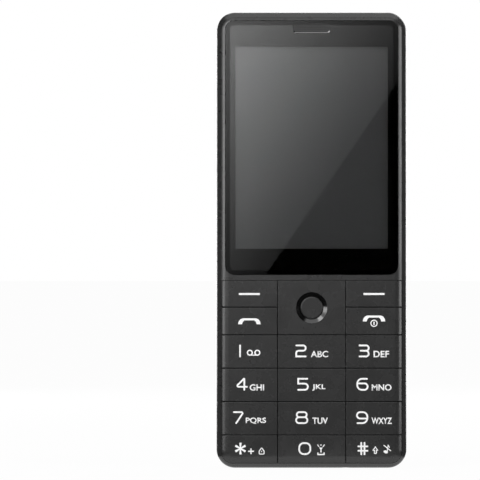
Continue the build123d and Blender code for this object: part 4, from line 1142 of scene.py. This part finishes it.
def reflected_card(name, corners, brightest, bright_place, dark_place):
    """A card that only reflections show; its light falls off evenly to the eye between two places."""
    mesh = bpy.data.meshes.new(name)
    mesh.from_pydata(corners, [], [tuple(range(len(corners)))])
    made, tree = empty_material(name)
    place = add_node(tree, "ShaderNodeTexCoord").outputs["Object"]
    fade = (bright_place - dark_place).normalized()
    along = add_node(tree, "ShaderNodeVectorMath", {"operation": "DOT_PRODUCT"}, {0: place, 1: fade})
    tone = map_range(tree, along.outputs["Value"], fade.dot(dark_place), fade.dot(bright_place))
    falling = calculate(tree, "POWER", tone, CARD_FALL)
    strength = calculate(tree, "MULTIPLY", falling, brightest)
    light = add_node(tree, "ShaderNodeEmission", links={"Color": WHITE, "Strength": strength})
    add_node(tree, "ShaderNodeOutputMaterial", links={"Surface": light.outputs[0]})
    mesh.materials.append(made)
    only_reflected(bpy.data.objects.new(name, mesh))


def make_surround():
    """Black cloth round the phone and on the floor, shown by reflections only: it keeps edges dark."""
    mesh = bmesh.new()
    for upper_radius, height in ((CLOTH_OPENING, 0), (SURROUND_RADIUS, SURROUND_HEIGHT)):
        bmesh.ops.create_cone(
            mesh,
            segments=CLOTH_SEGMENTS,
            radius1=SURROUND_RADIUS,
            radius2=upper_radius,
            depth=height,
            cap_ends=False,
            matrix=Matrix.Translation((0, 0, height / 2 + CLOTH_RISE)),
        )
    flat = save_mesh("dark_surround", mesh)
    made, tree = empty_material("black_cloth")
    matt = add_node(tree, "ShaderNodeBsdfDiffuse", links={"Color": colour("050505")})
    add_node(tree, "ShaderNodeOutputMaterial", links={"Surface": matt.outputs[0]})
    flat.materials.append(made)
    only_reflected(bpy.data.objects.new("dark_surround", flat))


def area_light(name, place, target, size, radiance):
    """A soft light of a given brightness per area that faces a target."""
    data = bpy.data.lights.new(name, "AREA")
    data.shape = "RECTANGLE"
    data.size, data.size_y = size
    data.energy = radiance * math.pi * size[0] * size[1]
    lamp = bpy.data.objects.new(name, data)
    lamp.location = place
    lamp.visible_camera = False
    lamp.rotation_euler = (Vector(target) - Vector(place)).to_track_quat("-Z", "Y").to_euler()
    show(lamp)


make_world()
make_floor()

# Camera at the photograph's angle: level, far off, a little to the phone's left
PHOTO_SCALE = 0.2818 * MM
PICTURE_SIDE = 480
CAMERA_X = -20.2 * MM
CAMERA_Z = 64.35 * MM
LENS = 350.0
SENSOR = 36.0
camera_distance = PICTURE_SIDE * PHOTO_SCALE * LENS / SENSOR
camera_data = bpy.data.cameras.new("camera")
camera_data.lens = LENS
camera_data.sensor_width = SENSOR
camera_data.clip_start = 0.05
camera_data.clip_end = 30.0
camera = bpy.data.objects.new("camera", camera_data)
camera.location = (CAMERA_X, FACE_Y - camera_distance, CAMERA_Z)
camera.rotation_euler = (math.pi / 2, 0, 0)
show(camera)
bpy.context.scene.camera = camera

# A bright card before the phone, whose slanted side draws the slanted shine across the window.
# It is brightest at its upper left.
CARD_DISTANCE = 0.6
SURROUND_RADIUS = 1.05
CLOTH_OPENING = 0.03
SURROUND_HEIGHT = 1.3
spread = 1 + CARD_DISTANCE / camera_distance
SHINE_HIGH = (24.33 * MM, 109.0 * MM)
SHINE_LOW = (-12.82 * MM, 54.73 * MM)
SHINE_SIDE = -0.7
SHINE_TOP = 0.85
SHINE_STRENGTH = 2.3
SHINE_BRIGHT = (-24.3 * MM, 126.0 * MM)
SHINE_DARK = (34.1 * MM, 86.4 * MM)


def on_card(point):
    """Where the camera sees a point of the window mirrored on the card."""
    return Vector((
        CAMERA_X + (point[0] - CAMERA_X) * spread,
        CAMERA_Z + (point[1] - CAMERA_Z) * spread,
    ))


shine_low = on_card(SHINE_LOW)
shine_high = on_card(SHINE_HIGH)
slant = (shine_high.x - shine_low.x) / (shine_high.y - shine_low.y)
shine_outline = [
    (SHINE_SIDE, shine_low.y),
    (shine_low.x, shine_low.y),
    (shine_low.x + slant * (SHINE_TOP - shine_low.y), SHINE_TOP),
    (SHINE_SIDE, SHINE_TOP),
]
card_y = WINDOW_LOW.y - CARD_DISTANCE
bright_place = on_card(SHINE_BRIGHT)
dark_place = on_card(SHINE_DARK)
reflected_card(
    "bright_card",
    [(x, card_y, z) for x, z in shine_outline],
    SHINE_STRENGTH,
    Vector((bright_place.x, card_y, bright_place.y)),
    Vector((dark_place.x, card_y, dark_place.y)),
)
make_surround()

# A second card behind the phone does the same for the camera island's window
REAR_CAMERA_DISTANCE = 1.33
REAR_SPREAD = 1 + CARD_DISTANCE / REAR_CAMERA_DISTANCE
REAR_SHINE_STRENGTH = 2.6
REAR_SIDE = 0.6
REAR_TOP = 0.5
REAR_EDGE_HIGH = (-4.2 * MM, 106.5 * MM)
REAR_EDGE_LOW = (1.4 * MM, 94.0 * MM)
REAR_BRIGHT = (4.2 * MM, 112.4 * MM)
REAR_DARK = (-3.5 * MM, 90.0 * MM)


def on_rear_card(x, z):
    """Where a camera straight behind the phone sees a point of the back mirrored on the rear card."""
    return Vector((x * REAR_SPREAD, PHONE_HEIGHT / 2 + (z - PHONE_HEIGHT / 2) * REAR_SPREAD))


rear_y = PILL_HIGH.y + CARD_DISTANCE
rear_edge_high = on_rear_card(*REAR_EDGE_HIGH)
rear_edge_low = on_rear_card(*REAR_EDGE_LOW)
rear_slant = (rear_edge_high.x - rear_edge_low.x) / (rear_edge_high.y - rear_edge_low.y)
rear_outline = [
    (REAR_SIDE, rear_edge_low.y),
    (rear_edge_low.x, rear_edge_low.y),
    (rear_edge_low.x + rear_slant * (REAR_TOP - rear_edge_low.y), REAR_TOP),
    (REAR_SIDE, REAR_TOP),
]
rear_bright = on_rear_card(*REAR_BRIGHT)
rear_dark = on_rear_card(*REAR_DARK)
reflected_card(
    "rear_card",
    [(x, rear_y, z) for x, z in rear_outline],
    REAR_SHINE_STRENGTH,
    Vector((rear_bright.x, rear_y, rear_bright.y)),
    Vector((rear_dark.x, rear_y, rear_dark.y)),
)

# Each lamp's place and size in metres, and its brightness per area
lamps = (
    ("left_strip", (-0.50, -0.42, 0.09), (0.2, 0.5), 6.0),
    ("right_strip", (0.58, -0.36, 0.09), (0.24, 0.5), 6.5),
    ("top_left", (-0.34, -0.5, 0.46), (0.22, 0.22), 7.0),
    ("rear_top", (0.34, 0.5, 0.46), (0.3, 0.3), 3.0),
    ("rear_left", (-0.30, 0.62, 0.10), (0.25, 0.4), 5.0),
    ("rear_right", (0.30, 0.62, 0.10), (0.25, 0.4), 5.0),
)
middle = Vector((0, 0, PHONE_HEIGHT / 2))
for name, place, size, radiance in lamps:
    area_light(name, place, middle, size, radiance)

bpy.context.scene.view_settings.view_transform = "Standard"
